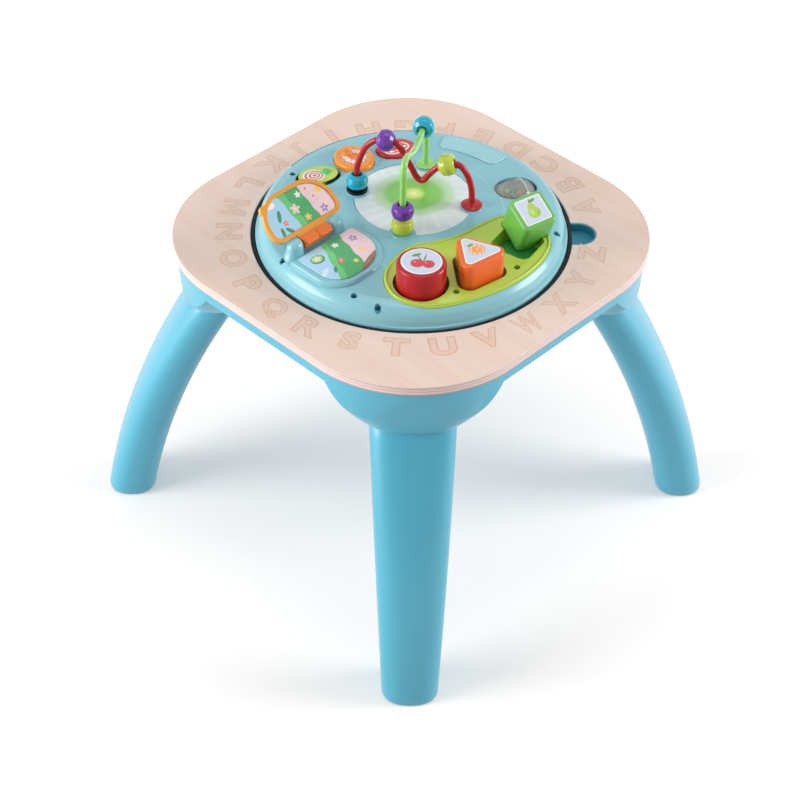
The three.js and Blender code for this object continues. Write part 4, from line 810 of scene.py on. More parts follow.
def makeSupport():
    half = board["half"] - support["inset"]
    corner = board["corner"] - support["inset"]
    top, low = support["deckTop"], support["deckTop"] - support["skirt"]
    bm = prism(roundedOutline(half, half, corner, 24), low, top)
    wall = support["wall"]
    hollow = prism(roundedOutline(half - wall, half - wall, corner - wall, 24), low - 1,
                   top - support["deck"])
    hole = prism(ovalOutline(support["wellRadius"] + 2, support["wellRadius"] + 2, 128), low - 5, top + 5)
    bm = carve(bm, [hollow, hole])
    bowls = []
    for angle in (45, 135, 225, 315):
        clip = prism(roundedOutline(half, half, corner, 24), 300, top)
        bowl = moved(loft(bowlRings()), Matrix.Rotation(radians(angle), 4, "Z"))
        well = prism(ovalOutline(support["wellRadius"] + 1, support["wellRadius"] + 1, 128), 360, top + 5)
        bowls.append(carve(carve(bowl, [clip], "INTERSECT"), [well]))
    bm = carve(bm, bowls, "UNION")
    outer = support["wellRadius"] + support["wellWall"]
    well = lathe([(support["wellHole"], support["wellFloor"]), (outer, support["wellFloor"]), (outer, top),
                  (support["wellRadius"], top), (support["wellRadius"], support["wellFloorTop"]),
                  (support["wellHole"], support["wellFloorTop"])], 128, closed=True)
    makePiece("support_frame_moulding", merged(bm, well), framePlastic, "table", ["support_frame"],
              world, bevel=1.0, segments=2)


def makeNotchCup():
    # the moulded cup that shows in the finger notch, its teal painted darker than the frame for the notch's
    # shade
    half, reach = board["notchHalf"] - 0.3, board["notchReach"] - board["notchHalf"]

    def cupOutline(inset, mouth):
        outline = [Vector((mouth, inset - half))]
        outline += [Vector((reach, 0)) + Vector(polar(half - inset, -90 + 180 * k / 24)) for k in range(25)]
        return outline + [Vector((mouth, half - inset))]
    body = prism(cupOutline(0, 170), -12.1, -0.8)
    body = carve(body, [prism(cupOutline(1.6, 160), -10.6, 5),
                        prism(ovalOutline(187.2, 187.2, 160), -20, 10)])
    turned = onPanel @ Matrix.Rotation(radians(board["notchTurn"] - 45), 4, "Z")
    makePiece("notch_cup", body, shadedCupPlastic, "table", place=turned, bevel=0.5)


makeSupport()
makeNotchCup()
print("frame made")


# Legs

leg = {"arc": 955, "lean": 31.5, "halfTop": 49.5, "halfFoot": 33, "deepTop": 32, "deepFoot": 29.5,
       "squareness": 2.5,
       "top": 317.4, "ease": 2.4}


def legCentre(level):
    top = sin(radians(leg["lean"]))
    sine = top - (support["seam"] - level) / leg["arc"]
    return support["legReach"] + leg["arc"] * (sqrt(1 - sine * sine) - cos(radians(leg["lean"])))


def legRing(level, inset=0):
    share = level / support["seam"]
    deep = leg["deepFoot"] + (leg["deepTop"] - leg["deepFoot"]) * share - inset
    half = leg["halfFoot"] + (leg["halfTop"] - leg["halfFoot"]) * share - inset
    return squareOval(legCentre(level), deep, deep, half, leg["squareness"], level)


def makeLegs():
    ease, top = leg["ease"], leg["top"]
    for name, angle in (("leg_right", 45), ("leg_back", 135), ("leg_left", 225), ("leg_front", 315)):
        rings = [legRing(0, ease), legRing(0.25 * ease, 0.35 * ease), legRing(ease)]
        rings += [legRing(ease + (top - 1 - ease) * k / 28) for k in range(1, 29)]
        rings += [legRing(top - 0.3, 0.3), legRing(top, 1.0)]
        bm = loft(rings)
        makePiece(name + "_moulding", bm, framePlastic, "table", [name],
                  Matrix.Rotation(radians(angle), 4, "Z"), smooth=40)


makeLegs()
print("legs made")


# Play panel shell

dome = {"radius": 181.5, "lip": 1.6, "skirt": -12, "wall": 2.6, "platform": 106.5}
domeProfile = softPath([
    (dome["radius"], dome["skirt"], 0), (dome["radius"], 2.1, 1.5), (179.4, 2.1, 0.7), (178.9, 8, 4),
    (176.4, 16.2, 10),
    (170.6, 22.6, 9), (160, 25.0, 18), (136, 26.0, 20), (dome["platform"] + 2.2, 26.35, 2),
    (dome["platform"] - 0.6, 27.15, 2),
    (60, 27.2, 10), (0, 27.2, 0),
], steps=5)


def domeHeight(reach):
    for outer, inner in zip(domeProfile, domeProfile[1:]):
        if outer.x >= reach >= inner.x and outer.y > 1:
            share = (outer.x - reach) / max(outer.x - inner.x, 1e-6)
            return outer.y + (inner.y - outer.y) * share
    return 27.2


window = {"x": 3, "y": 25, "radius": 70, "boss": 13.5, "bossTop": 28.4, "feet": 68, "footTurn": -12.4}
feet = {}
for footName, footAngle in (("right", 0), ("back", 90), ("left", 180), ("front", 270)):
    footX, footY = polar(window["feet"], window["footTurn"] + footAngle)
    feet[footName] = Vector((window["x"] + footX, window["y"] + footY))

trayShares = [
    (-106, 0.64), (-103, 0.78), (-97, 0.885), (-86, 0.942), (-68.5, 0.94), (-50, 0.938), (-33.6, 0.94),
    (-20.2, 0.925), (-13, 0.87), (-7, 0.78), (-3.5, 0.67), (-5, 0.56), (-17.6, 0.45), (-38.9, 0.385),
    (-60.6, 0.35), (-87.6, 0.348), (-101, 0.45),
]
trayOutline = evenly(splinePath([Vector((*polar(dome["radius"] * share, angle), 0)) for angle,
                                 share in trayShares],
                                10, closed=True), 150)
trayOutline = [Vector((p.x, p.y)) for p in trayOutline]

keys = {
    "green": {"x": -109.5, "y": 68.5, "long": 27, "wide": 19, "turn": 22, "rise": 3},
    "orange": {"x": -67, "y": 100.5, "long": 26, "wide": 23, "turn": 127, "rise": 7},
    "red": {"x": -17, "y": 124.5, "long": 24.5, "wide": 20, "turn": 15, "rise": 4},
}
roller = {"x": 122.5, "y": 48, "z": 13, "turn": 21.4, "radius": 22.5, "half": 23.5, "curve": 27,
          "slotX": 26.0,
          "slotY": 21.9}
gripHoles = [(0.934, -149.1), (0.91, -113.5), (0.948, -103.3), (0.93, -12.1), (0.875, 151.5)]
trayGripHoles = [(0.85, -72.4), (0.855, -41.5)]
gripRadius = 3.8
book = {"x": -110.5, "y": -58.5, "turn": 45, "axis": 36, "tilt": 38, "half": 51.5, "long": 64, "bar": 5,
        "thick": 5,
        "root": 10, "corner": 36, "rootCorner": 12, "shift": 0.5, "tab": (-38.3, 51.3), "tabRadius": 7}
plateau = {"half": 49.5, "shift": 2.5, "start": -10, "end": -84, "corners": (33, 50), "page": 6.5}
onBook = onPanel @ at(book["x"], book["y"], 0, book["turn"])


def makeTopShell():
    under = [Vector((p.x - dome["wall"] if p.x > 3 else 0, p.y - dome["wall"])) for p in domeProfile[3:]]
    under = [p for p in under if p.x < dome["radius"] - dome["lip"] - dome["wall"] - 0.2 or p.x == 0]
    inner = dome["radius"] - dome["lip"] - dome["wall"]
    profile = domeProfile + list(reversed(under)) + [Vector((inner, -2)), Vector((inner, dome["skirt"]))]
    bm = lathe(profile, 180, closed=True)
    opening = plug(window["x"], window["y"], window["radius"] + 0.3, 10, 40, 96)
    bosses = [plug(foot.x, foot.y, window["boss"] - 0.3, 5, 45, 48) for foot in feet.values()]
    cutters = [carve(opening, bosses), prism(grown(trayOutline, 0.4), 4, 40)]
    for key in keys.values():
        cutters.append(plug(key["x"], key["y"], key["long"] + 0.7, 4, 40, 64, key["wide"] + 0.7, key["turn"]))
    cutters.append(plug(roller["x"], roller["y"], roller["slotX"], 4, 40, 64, roller["slotY"],
                        roller["turn"]))
    for share, angle in gripHoles:
        x, y = polar(dome["radius"] * share, angle)
        cutters.append(plug(x, y, gripRadius, 4, 40, 24))
    bm = carve(bm, cutters)
    makePiece("panel_shell", bm, shellPlastic, "play_panel", ["panel_top_shell"],
              bevel=0.9, segments=3)


def makeBosses():
    parts = []
    for foot in feet.values():
        top, base, radius = window["bossTop"], 27.0, window["boss"]
        profile = softPath([(0, 24.6, 0), (radius - 0.3, 24.6, 0), (radius - 0.2, base, 0),
                            (radius, base + 0.5, 0.3),
                            (radius - 0.6, top, 0.8), (radius - 2.4, top, 0), (0, top, 0)])
        parts.append(moved(lathe(profile, 48), at(foot.x, foot.y)))
        ring = softPath([(radius + 2.6, 26.9, 0), (radius + 1.2, 27.5, 0.6), (radius + 0.2, 27.4, 0),
                         (radius + 0.2, 26.9, 0)])
        parts.append(moved(lathe(ring, 48, closed=True), at(foot.x, foot.y)))
    makePiece("wire_bosses", merged(*parts), shellPlastic, "play_panel")


def plateauOutline(inset):
    half, start, end = plateau["half"] - inset, plateau["start"] - inset / 2, plateau["end"] + inset
    left, right = plateau["shift"] - half, plateau["shift"] + half
    near, far = plateau["corners"]
    return softPath([(right, start, 3), (left, start, 3), (left, end, near - inset),
                     (right, end, far - inset)],
                    closed=True, steps=16, most=0.75)


def makePlateau():
    outline = list(reversed(plateauOutline(0)))
    rings = []
    for growth, level in ((1.8, 18), (1.8, 26.6), (0.9, 27.2), (0.2, 28.2), (-0.4, 28.9), (-1.4, 29.3),
                          (-2.6, 29.4)):
        rings.append([Vector((p.x, p.y, level)) for p in grown(outline, -growth)])
    makePiece("book_plateau", loft(rings), shellPlastic, "play_panel", place=onBook,
              smooth=50)


def alongX(bm):
    return moved(bm, Matrix.Rotation(radians(90), 4, "Y"))


def makeEars():
    # bean shapes that reach out from the drum's ends and slope down to the shell
    parts = []
    for side in (-1, 1):
        middle = side * (21 + 0.5 + 9.2)
        sizes = [(14.5, 9.3, 11, 22), (14.2, 9.3, 10.6, 26.6), (12.8, 9.2, 9.6, 28), (11.6, 9.2, 9.0, 31),
                 (10.6, 9.2, 8.6, 35)]
        for k in range(1, 11):
            lift, shrink = sin(radians(9 * k - 3)), cos(radians(9 * k - 3))
            sizes.append((10.4 * shrink ** 0.8, 9.2 * shrink ** 0.35, 8.6 * shrink ** 0.8, 35 + 9.4 * lift))
        rings = []
        for outer, inner, halfY, level in sizes:
            right, left = (outer, inner) if side > 0 else (inner, outer)
            rings.append(squareOval(middle, right, left, halfY, 2.2, level, 48))
        parts.append(loft(rings))
    makePiece("book_ears", merged(*parts), shellPlastic, "play_panel", place=onBook,
              smooth=60)


def makeGripCups():
    # closed cups under the small holes, their plastic painted darker for the holes' shade
    for name, spots, finish, sink in (("shell_grip_cups", gripHoles, shadedCupPlastic, 2.4),
                                      ("tray_grip_cups", trayGripHoles, limeShade, 4)):
        cups = []
        for share, angle in spots:
            x, y = polar(dome["radius"] * share, angle)
            top = domeHeight(hypot(x, y)) - sink
            wall, deep = gripRadius + 1, top - 6
            cup = lathe([(0, deep), (wall, deep), (wall, top), (gripRadius + 0.1, top),
                         (gripRadius + 0.1, deep + 0.8), (0, deep + 0.8)], 32)
            cups.append(moved(cup, at(x, y)))
        makePiece(name, merged(*cups), finish, "play_panel")


def makeRimGrooveShadeLine():
    # a darker teal tube laid along the back rim: painted shade that stands in for the groove's shadow line
    path = [Vector((*polar(171.2, 88 + 58 * k / 40), domeHeight(171.2) + 0.05)) for k in range(41)]
    finish = plastic("groove shade", (84, 148, 168), roughness=0.5, coat=0)
    makePiece("rim_groove_shade_line", tube(path, 0.7, 8), finish, "play_panel")


makeTopShell()
makeBosses()
makePlateau()
makeEars()
makeGripCups()
makeRimGrooveShadeLine()
print("panel shell made")


# Bare plate, black ring that paints the shade of the panel's gap

plate = {"inner": 134, "outer": 163, "from": 44, "to": 75, "corner": 7, "low": 0.3, "high": 1.25}


def makePlate():
    mid = (plate["inner"] + plate["outer"]) / 2
    flat = softPath([(mid * radians(plate["from"]), plate["inner"], plate["corner"]),
                     (mid * radians(plate["to"]), plate["inner"], plate["corner"]),
                     (mid * radians(plate["to"]), plate["outer"], plate["corner"]),
                     (mid * radians(plate["from"]), plate["outer"], plate["corner"])], closed=True, steps=8)
    flat = evenly(flat, 120)

    def bent(points, level):
        ring = []
        for p in points:
            x, y = polar(p.y, degrees(p.x / mid))
            ring.append(Vector((x, y, domeHeight(min(p.y, 163.5)) + level)))
        return ring
    rings = [bent(flat, plate["low"]), bent(flat, plate["high"] - 0.5),
             bent(grown(flat, -0.4), plate["high"]), bent(grown(flat, -1.8), plate["high"]),
             bent(grown(flat, -2.2), plate["high"] - 0.35), bent(grown(flat, -2.6), plate["high"] - 0.35)]
    makePiece("bare_plate_cover", loft(rings), platePlastic, "play_panel", ["bare_plate"],
              smooth=50)


def makeGapShadeRing():
    # a black rubber ring in the gap round the panel; its black is partly painted shade for the deep gap
    # between panel and board
    profile = softPath([(181.9, -12, 1), (186.5, -12, 1), (186.5, -1.2, 2), (184.2, -0.4, 2),
                        (181.9, -1.2, 2)], closed=True, steps=4)
    makePiece("gap_shade_ring", lathe(profile, 160, closed=True), blackRubberAndGapShade, "table", ["gap_gasket"],
              place=onPanel)


makePlate()
makeGapShadeRing()


# Light window

def windowMaterial():
    # milky lens with faint pressed rays; the glow of the green light behind it is painted into its colour and
    # given as a weak emission
    material, w, shader, coords = startMaterial("milky window")
    place = onPanel @ at(window["x"], window["y"] + 8, 27)
    sheet = w.add("Mapping", {"Vector": coords, "Location": place.translation * mm,
                              "Rotation": place.to_euler(),
                              "Scale": (mm, mm, mm)}, vector_type="TEXTURE").outputs[0]
    parts = w.add("SeparateXYZ", {0: sheet})
    flat = w.add("CombineXYZ", {0: parts.outputs[0], 1: w.math("MULTIPLY", parts.outputs[1], 1.12), 2: 0.0})
    reach = w.add("VectorMath", {0: flat.outputs[0]}, operation="LENGTH").outputs["Value"]
    angle = w.math("ARCTAN2", parts.outputs[1], parts.outputs[0])
    rays = w.math("SINE", w.math("MULTIPLY_ADD", reach, 0.09, w.math("MULTIPLY", angle, 26.0)))
    # painted light: the light's glow, a yellow-white core fading through green to pale, set as the base
    # colour
    glow = w.add("ValToRGB", {0: w.math("DIVIDE", reach, 62.0)})
    ramp = glow.color_ramp
    ramp.interpolation = "EASE"
    stops = [(0.0, (238, 232, 158)), (0.1, (206, 222, 120)), (0.26, (122, 192, 76)), (0.46, (124, 196, 88)),
             (0.68, (186, 220, 180)), (0.84, (216, 231, 229)), (1.0, (220, 232, 236))]
    ramp.elements[0].position, ramp.elements[0].color = stops[0][0], shade(*stops[0][1])
    ramp.elements[1].position, ramp.elements[1].color = stops[-1][0], shade(*stops[-1][1])
    for position, tint in stops[1:-1]:
        element = ramp.elements.new(position)
        element.color = shade(*tint)
    outer = w.band(reach, 34.0, 64.0)
    pressed = w.math("MULTIPLY", w.math("MULTIPLY", w.band(rays, -0.2, 0.9), outer), 0.22)
    colour = w.mix(pressed, glow.outputs[0], shade(250, 250, 252))
    w.feed(colour, shader.inputs["Base Color"])
    # painted glow: a weak emission near the middle
    light = w.mix(w.band(reach, 6.0, 46.0), glow.outputs[0], (0, 0, 0, 1))
    w.feed(light, shader.inputs["Emission Color"])
    shader.inputs["Emission Strength"].default_value = 0.14
    cloud = w.add("TexNoise", {"Vector": coords, "Scale": 90.0, "Detail": 3.0})
    w.feed(w.math("MULTIPLY_ADD", cloud.outputs["Fac"], 0.1, 0.16), shader.inputs["Roughness"])
    shader.inputs["Coat Weight"].default_value = 0.3
    shader.inputs["Subsurface Weight"].default_value = 0.15
    shader.inputs["Subsurface Scale"].default_value = 0.006
    bump(w, shader, w.math("MULTIPLY", rays, outer), 0.3, 0.12 * mm)
    return material


def makeWindow():
    profile = softPath([(0, 24.6, 0), (69.7, 24.6, 0), (69.7, 27.0, 0.6), (66, 27.15, 2), (40, 28.0, 20),
                        (0, 28.6, 0)])
    bm = moved(lathe(profile, 120), at(window["x"], window["y"]))
    notches = [plug(foot.x, foot.y, window["boss"] + 0.3, 10, 45, 48) for foot in feet.values()]
    makePiece("milky_lens", carve(bm, notches), windowMaterial(), "play_panel", ["light_window"],
              bevel=0.5)


makeWindow()
print("window lit")


# Tray and its pockets

tray = {"lift": 1.2, "pocket": 132.5, "floor": 8.3, "slack": 3.5, "cup": 2}
blocks = {
    "red": {"angle": -86.5, "radius": 28, "height": 48},
    "orange": {"angle": -58.2, "reach": 21, "corner": 10, "turn": 6, "height": 48},
    "green": {"angle": -26, "half": 21.5, "corner": 7, "height": 50, "pocketTurn": 58,
              "spot": (128.9, -28.9, 20.4),
              "turns": (("Z", 28.6), ("Y", -5.3), ("X", 24.4))},
}


def blockOutline(name, growth, steps=14):
    block = blocks[name]
    if name == "red":
        return ovalOutline(block["radius"] + growth, block["radius"] + growth, 72)
    if name == "orange":
        return threeCornered(block["reach"], block["corner"] + growth, block["turn"], steps)
    return roundedOutline(block["half"] + growth, block["half"] + growth, block["corner"] + growth,
                          steps // 2)


def greenPlace():
    # the green block leans in its pocket
    turn = Matrix.Identity(4)
    for axis, angle in blocks["green"]["turns"]:
        turn = turn @ Matrix.Rotation(radians(angle), 4, axis)
    return Matrix.Translation(blocks["green"]["spot"]) @ turn


def trayTop(reach):
    # the tray stands a little proud of the dome and has no step where the platform starts
    flat = [(0, 28.1), (98, 28.0), (130, 27.5), (150, 26.9), (160, 26.2)]
    for (inner, high), (outer, low) in zip(flat, flat[1:]):
        if reach <= outer:
            return high + (low - high) * (reach - inner) / (outer - inner)
    return domeHeight(reach) + tray["lift"]


def makeTray():
    top = [Vector((p.x, p.y + tray["lift"])) for p in domeProfile if p.y > 1 and p.x > 160]
    top += [Vector((reach, trayTop(reach))) for reach in (160, 155, 150, 145, 140, 130, 120, 110, 98, 60, 0)]
    sheet = lathe([Vector((0, 20.5)), Vector((168, 20.5)), Vector((178, 12))] + top, 160)
    body = carve(sheet, [prism(trayOutline, 10, 45)], "INTERSECT")
    cups, holes = [], []
    for name, block in blocks.items():
        x, y = polar(tray["pocket"], block["angle"])
        turn = block.get("pocketTurn", 0)
        outline = placedOutline(blockOutline(name, tray["slack"] + tray["cup"]), x, y, turn)
        cups.append(prism(outline, tray["floor"], 22))
        holes.append(prism(placedOutline(blockOutline(name, tray["slack"]), x, y, turn), 4, 45))
    for share, angle in trayGripHoles:
        x, y = polar(dome["radius"] * share, angle)
        holes.append(plug(x, y, gripRadius, 4, 45, 24))
    body = carve(body, cups, "UNION")
    body = carve(body, holes)
    cradle = moved(prism(blockOutline("green", 0.9), -0.9, 60), greenPlace())
    body = carve(body, [cradle])
    makePiece("lime_tray", body, limePlastic, "play_panel", ["shape_tray"], bevel=1.1,
              segments=3)


def makeTrayLip():
    # the soft raised edge that runs round the tray
    path = [Vector((p.x, p.y, trayTop(p.length) - 0.1)) for p in grown(trayOutline, -2.6)]
    lip = tube(path, 1.5, 12, closed=True)
    block = moved(prism(blockOutline("green", 1.2), -1, 60), greenPlace())
    makePiece("tray_lip", carve(lip, [block]), limePlastic, "play_panel", smooth=60)


makeTray()
makeTrayLip()
print("tray made")


# Blocks with their printed labels

paleFilm = (200, 214, 232)
label = {"inset": 5, "border": 1.5, "low": 0.3, "thick": 0.5, "print": 0.08}


def makeLabel(name, place, body, layers):
    height = blocks[name]["height"]
    backOutline = blockOutline(name, -label["inset"])
    filmOutline = blockOutline(name, -label["inset"] - label["border"])
    top = height + label["low"] + label["thick"]
    backing = prism(backOutline, height + label["low"], top, topEase=0.15)
    makePiece(name + "_label_film", backing, whiteFilm, body, [name + "_label"], place)
    film = prism(filmOutline, top - 0.1, top + label["print"])
    finish = picture(name + " label print", place, paleFilm, layers, speckle=(214, 224, 238))
    makePiece(name + "_label_print", film, finish, body, place=place)


def makeBlocks():
    cherry, stem, leafTone, shine = (208, 32, 44), (86, 120, 52), (70, 158, 70), (238, 150, 150)
    cherries = [blob(stem, -1.5, 5.5, 0.8, 7.5, 24), blob(stem, 4.2, 5.0, 0.8, 8.2, -20),
                blob(leafTone, -4.5, 11.5, 5.6, 2.4, 18), blob((46, 120, 58), -4.5, 11.5, 4.6, 0.4, 18),
                blob(cherry, -5.2, -3.2, 7.4), blob((170, 20, 36), 7.2, -5.6, 6.9),
                blob(cherry, 6.9, -5.2, 6.4), blob(shine, -7.6, -0.4, 1.7, 1.1, 40),
                blob(shine, 4.6, -2.8, 1.5, 1.0, 40)]
    x, y = polar(tray["pocket"], blocks["red"]["angle"])
    place = onPanel @ at(x, y, tray["floor"])
    body = lathe(softPath([(0, 0, 0), (28, 0, 3), (28, 24, 0), (28, 48, 3), (0, 48, 0)], steps=6), 72)
    makePiece("red_round_block", body, redPlastic, "round_block", ["red_block"], place)
    makeLabel("red", place @ at(turn=4), "round_block", cherries)

    orangeSlice = [blob((240, 130, 40), 0, 2, 9.2), blob((252, 226, 180), 0, 2, 8.0),
              blob((246, 152, 52), 0, 2, 6.6, petals=8, depth=0.16, soft=0.1),
              blob((252, 226, 180), 0, 2, 1.4),
              blob((78, 160, 72), -7.4, 9.6, 4.2, 1.9, 40), blob((250, 190, 110), 2.6, 5.2, 1.8, 1.0, 30)]
    x, y = polar(tray["pocket"], blocks["orange"]["angle"])
    place = onPanel @ at(x, y, tray["floor"])
    outline = blockOutline("orange", 0)
    body = prism(outline, 0, blocks["orange"]["height"], topEase=3, lowEase=3, segments=4)
    makePiece("orange_three_cornered_block", body, orangePlastic, "three_cornered_block", ["orange_block"],
              place, smooth=40)
    makeLabel("orange", place, "three_cornered_block", orangeSlice)

    pear = [blob((110, 72, 40), 0.8, 11.5, 0.8, 3.2, -14), blob((64, 146, 66), 4.6, 11.6, 3.8, 1.7, 16),
            blob((168, 202, 62), 0, -3.4, 7.6, 7.0), blob((168, 202, 62), 0, 3.8, 4.7, 5.6),
            blob((196, 220, 96), -2.4, -2.2, 2.9, 3.8, 12), blob((134, 176, 46), 3.9, -5.4, 1.2, 2.6, -30)]
    place = onPanel @ greenPlace()
    body = prism(blockOutline("green", 0), 0, blocks["green"]["height"], topEase=3, lowEase=3, segments=4)
    makePiece("green_square_block", body, leafPlastic, "square_block", ["green_block"],
              place, smooth=40)
    makeLabel("green", place, "square_block", pear)


makeBlocks()
print("blocks made")


# Bead wires

wires = {"radius": 3.8, "sink": 7, "redTop": 75, "greenTop": 92, "steps": 9, "flange": 12.5,
         "smallFlange": 11,
         "collar": 12.5, "collarBore": 4.2, "collarTall": 3.4}
redShares = [
    (0, 0.2), (0, 0.42), (0.02, 0.58), (0.075, 0.83), (0.15, 0.965), (0.2, 1), (0.3, 1), (0.34, 0.975),
    (0.39, 0.84), (0.46, 0.6), (0.53, 0.37), (0.57, 0.35), (0.63, 0.49), (0.71, 0.645), (0.84, 0.735),
    (0.9, 0.69), (0.955, 0.54), (0.99, 0.33), (1, 0.12),
]
greenShares = [
    (0, 0.25), (0, 0.5), (0, 0.76), (0.004, 0.9), (0.03, 0.98), (0.085, 1), (0.16, 0.97), (0.27, 0.88),
    (0.4, 0.79), (0.54, 0.735), (0.67, 0.715), (0.8, 0.712), (0.93, 0.71), (0.982, 0.65), (1, 0.5), (1, 0.14),
]


def wirePath(start, end, top, shares):
    low = window["bossTop"]
    points = [Vector((*start, low - wires["sink"]))]
    for share, rise in shares:
        spot = start.lerp(end, share)
        points.append(Vector((*spot, low + top * rise)))
    points.append(Vector((*end, low - wires["sink"])))
    return splinePath(points, wires["steps"])


def flange(foot, radius, height=3):
    low = window["bossTop"] + 0.3
    profile = softPath([(0, low, 0), (radius, low, 0.7), (radius, low + 1.5, 1.1),
                        (radius * 0.6, low + height, 3),
                        (wires["radius"] + 0.4, low + height + 0.6, 1.5),
                        (wires["radius"] + 0.2, low + height + 4, 0), (0, low + height + 4, 0)])
    return moved(lathe(profile, 48), at(foot.x, foot.y))


def makeWires():
    redPath = wirePath(feet["left"], feet["right"], wires["redTop"], redShares)
    greenPath = wirePath(feet["front"], feet["back"], wires["greenTop"], greenShares)
    red = merged(tube(redPath, wires["radius"], 20), flange(feet["right"], wires["flange"]))
    makePiece("red_bead_wire", red, redPlastic, "play_panel", ["red_wire"], smooth=50)
    green = merged(tube(greenPath, wires["radius"], 20), flange(feet["back"], wires["smallFlange"]))
    makePiece("green_bead_wire", green, wireGreenPlastic, "play_panel", ["green_wire"],
              smooth=50)
    low = window["bossTop"] + 0.3
    bore, rim, top = wires["collarBore"], wires["collar"], low + wires["collarTall"]
    profile = softPath([(bore, low, 0), (rim, low, 0.6), (rim, top, 0.9), (bore, top, 0.4)], closed=True)
    collar = moved(lathe(profile, 48, closed=True), at(feet["left"].x, feet["left"].y))
    makePiece("dark_collar", collar, blackRubberAndGapShade, "play_panel", ["wire_collar"])


beadSize = {"radius": 13.3, "half": 9.75, "bore": 5.3}
beads = {  # place, then the way that the bore points, both in metres of the row's frame
    "teal_bead_left": ("left_bead", tealGloss, "teal_plastic", (-0.07285, -0.01685, 0.44225), (0, 0, 1)),
    "lime_bead_front": ("front_low_bead", limeGloss, "lime_bead_plastic", (0.02109, -0.0375, 0.43845),
                        (0, 0, 1)),
    "purple_bead_front": ("front_high_bead", purpleGloss, "purple_plastic", (0.02109, -0.0375, 0.45825),
                          (0, 0, 1)),
    "purple_bead_top": ("red_arch_bead", purpleGloss, "purple_plastic", (-0.04447, 0.0013, 0.50332),
                        (0.84234, 0.5387, 0.01616)),
    "lime_bead_right": ("red_slope_bead", limeGloss, "lime_bead_plastic", (0.01635, 0.04019, 0.48088),
                        (0.79418, 0.5079, 0.33364)),
    "teal_bead_top": ("green_arch_bead", tealGloss, "teal_plastic", (-0.04256, 0.06201, 0.49396),
                      (-0.53843, 0.84193, -0.0353)),
}


def makeBeads():
    r, h, bore = beadSize["radius"], beadSize["half"], beadSize["bore"]
    for name, (body, finish, slot, spot, way) in beads.items():
        profile = softPath([(bore, -h + 1.4, 1), (bore + 1.2, -h, 1.2), (7.4, -h, 1.8), (11.9, -6.1, 3),
                            (r, 0, 3.4),
                            (11.9, 6.1, 3), (7.4, h, 1.8), (bore + 1.2, h, 1.2), (bore, h - 1.4, 1)],
                            closed=True, steps=5)
        turn = Vector((0, 0, 1)).rotation_difference(Vector(way)).to_matrix().to_4x4()
        place = Matrix.Translation(Vector(spot) / mm) @ turn
        makePiece(name + "_gloss", lathe(profile, 48, closed=True), finish, body, [name], place,
                  smooth=60)


makeWires()
makeBeads()
print("bead wires made")


# Keys

keyFoot = 19.5
keyHollow = {"radius": 10, "depth": 4}


def makeKeys():
    white, berry, plum = (246, 238, 228), (190, 86, 84), (132, 84, 150)
    rings = [blob(white if k % 2 == 0 else berry, -4, 0, 13.5 - 2.2 * k, 11.5 - 1.9 * k, petals=1,
                  depth=-0.12) for k in range(6)]
    burst = [blob(white, 0, 0, 15, 14, petals=11, depth=0.14, soft=0.06),
             blob(plum, 0, 0, 13.2, 12.4, petals=11, depth=0.42, soft=0.08),
             blob(white, 0, 0, 10.8, 10, petals=11, depth=0.5, soft=0.08),
             blob((238, 112, 38), 0, 0, 7.6, 7.2)]
    weave = [blob(white, -2, 0, 16.5, 13, petals=3, depth=0.1, soft=0.05),
             blob((196, 30, 42), -2, 0, 14.4, 11, petals=3, depth=0.12, soft=0.05),
             blob(white, -2, 0, 12.2, 9.2, petals=6, depth=0.2, soft=0.07),
             blob((196, 30, 42), -2, 0, 8.2, 6.4, petals=3, depth=0.12, soft=0.07)]
    looks = {"green": (limePlastic, (186, 208, 70), rings, brightGreenPlastic, (11, 2.5), "lime_plastic"),
             "orange": (amberPlastic, (242, 150, 40), burst, amberPlastic, (10.5, 3), "orange_plastic"),
             "red": (redPlastic, (200, 34, 44), weave, redPlastic, (3, 3.5), "red_plastic")}
    for name, (finish, ground, layers, knobFinish, knobAt, slot) in looks.items():
        key = keys[name]
        face = domeHeight(hypot(key["x"], key["y"]))
        top = face + key["rise"]
        place = onPanel @ at(key["x"], key["y"], 0, key["turn"])
        sides = []
        crown = 1.2 if name == "green" else 2.6
        for growth, level in ((1.2, keyFoot), (1.2, keyFoot + 1.6), (0, keyFoot + 1.6), (0, top - crown),
                              (-0.35 * crown, top - 0.3 * crown), (-crown, top)):
            sides.append([Vector((p.x, p.y, level)) for p in ovalOutline(key["long"] + growth,
                                                                         key["wide"] + growth, 72)])
        body = f"{name}_key"
        # room for the dome under a pressed key
        hollow = plug(0, 0, keyHollow["radius"], keyFoot - 1, keyFoot + keyHollow["depth"], 48)
        makePiece(f"{name}_key_cap", carve(loft(sides), [hollow]), finish, body, [f"key_{name}"],
                  place, smooth=45)
        inset = crown + 1.6
        film = prism(ovalOutline(key["long"] - inset, key["wide"] - inset, 72), top - 0.1, top + 0.12)
        makePiece(f"{name}_key_print", film, picture(f"{name} key print", place, ground, layers), body,
                  place=place)
        if name == "orange":
            bowl = softPath([(0, top + 1.6, 0), (4.2, top + 1.8, 1), (5.2, top + 3.2, 0.8),
                             (6.6, top + 3.2, 1.2), (7.2, top, 0), (0, top, 0)])
        else:
            bowl = softPath([(0, top + 2.4, 0), (3.4, top + 2.2, 2), (5.6, top + 1.0, 2), (6.2, top, 0),
                             (0, top, 0)])
        knob = moved(lathe(bowl, 40), at(knobAt[0], knobAt[1]))
        makePiece(f"{name}_key_knob", knob, knobFinish, body, place=place, smooth=60)


makeKeys()
print("keys made")


# Picture book

onFlap = onPanel @ at(book["x"], book["y"], book["axis"],
                      book["turn"]) @ Matrix.Rotation(radians(book["tilt"]), 4, "X")


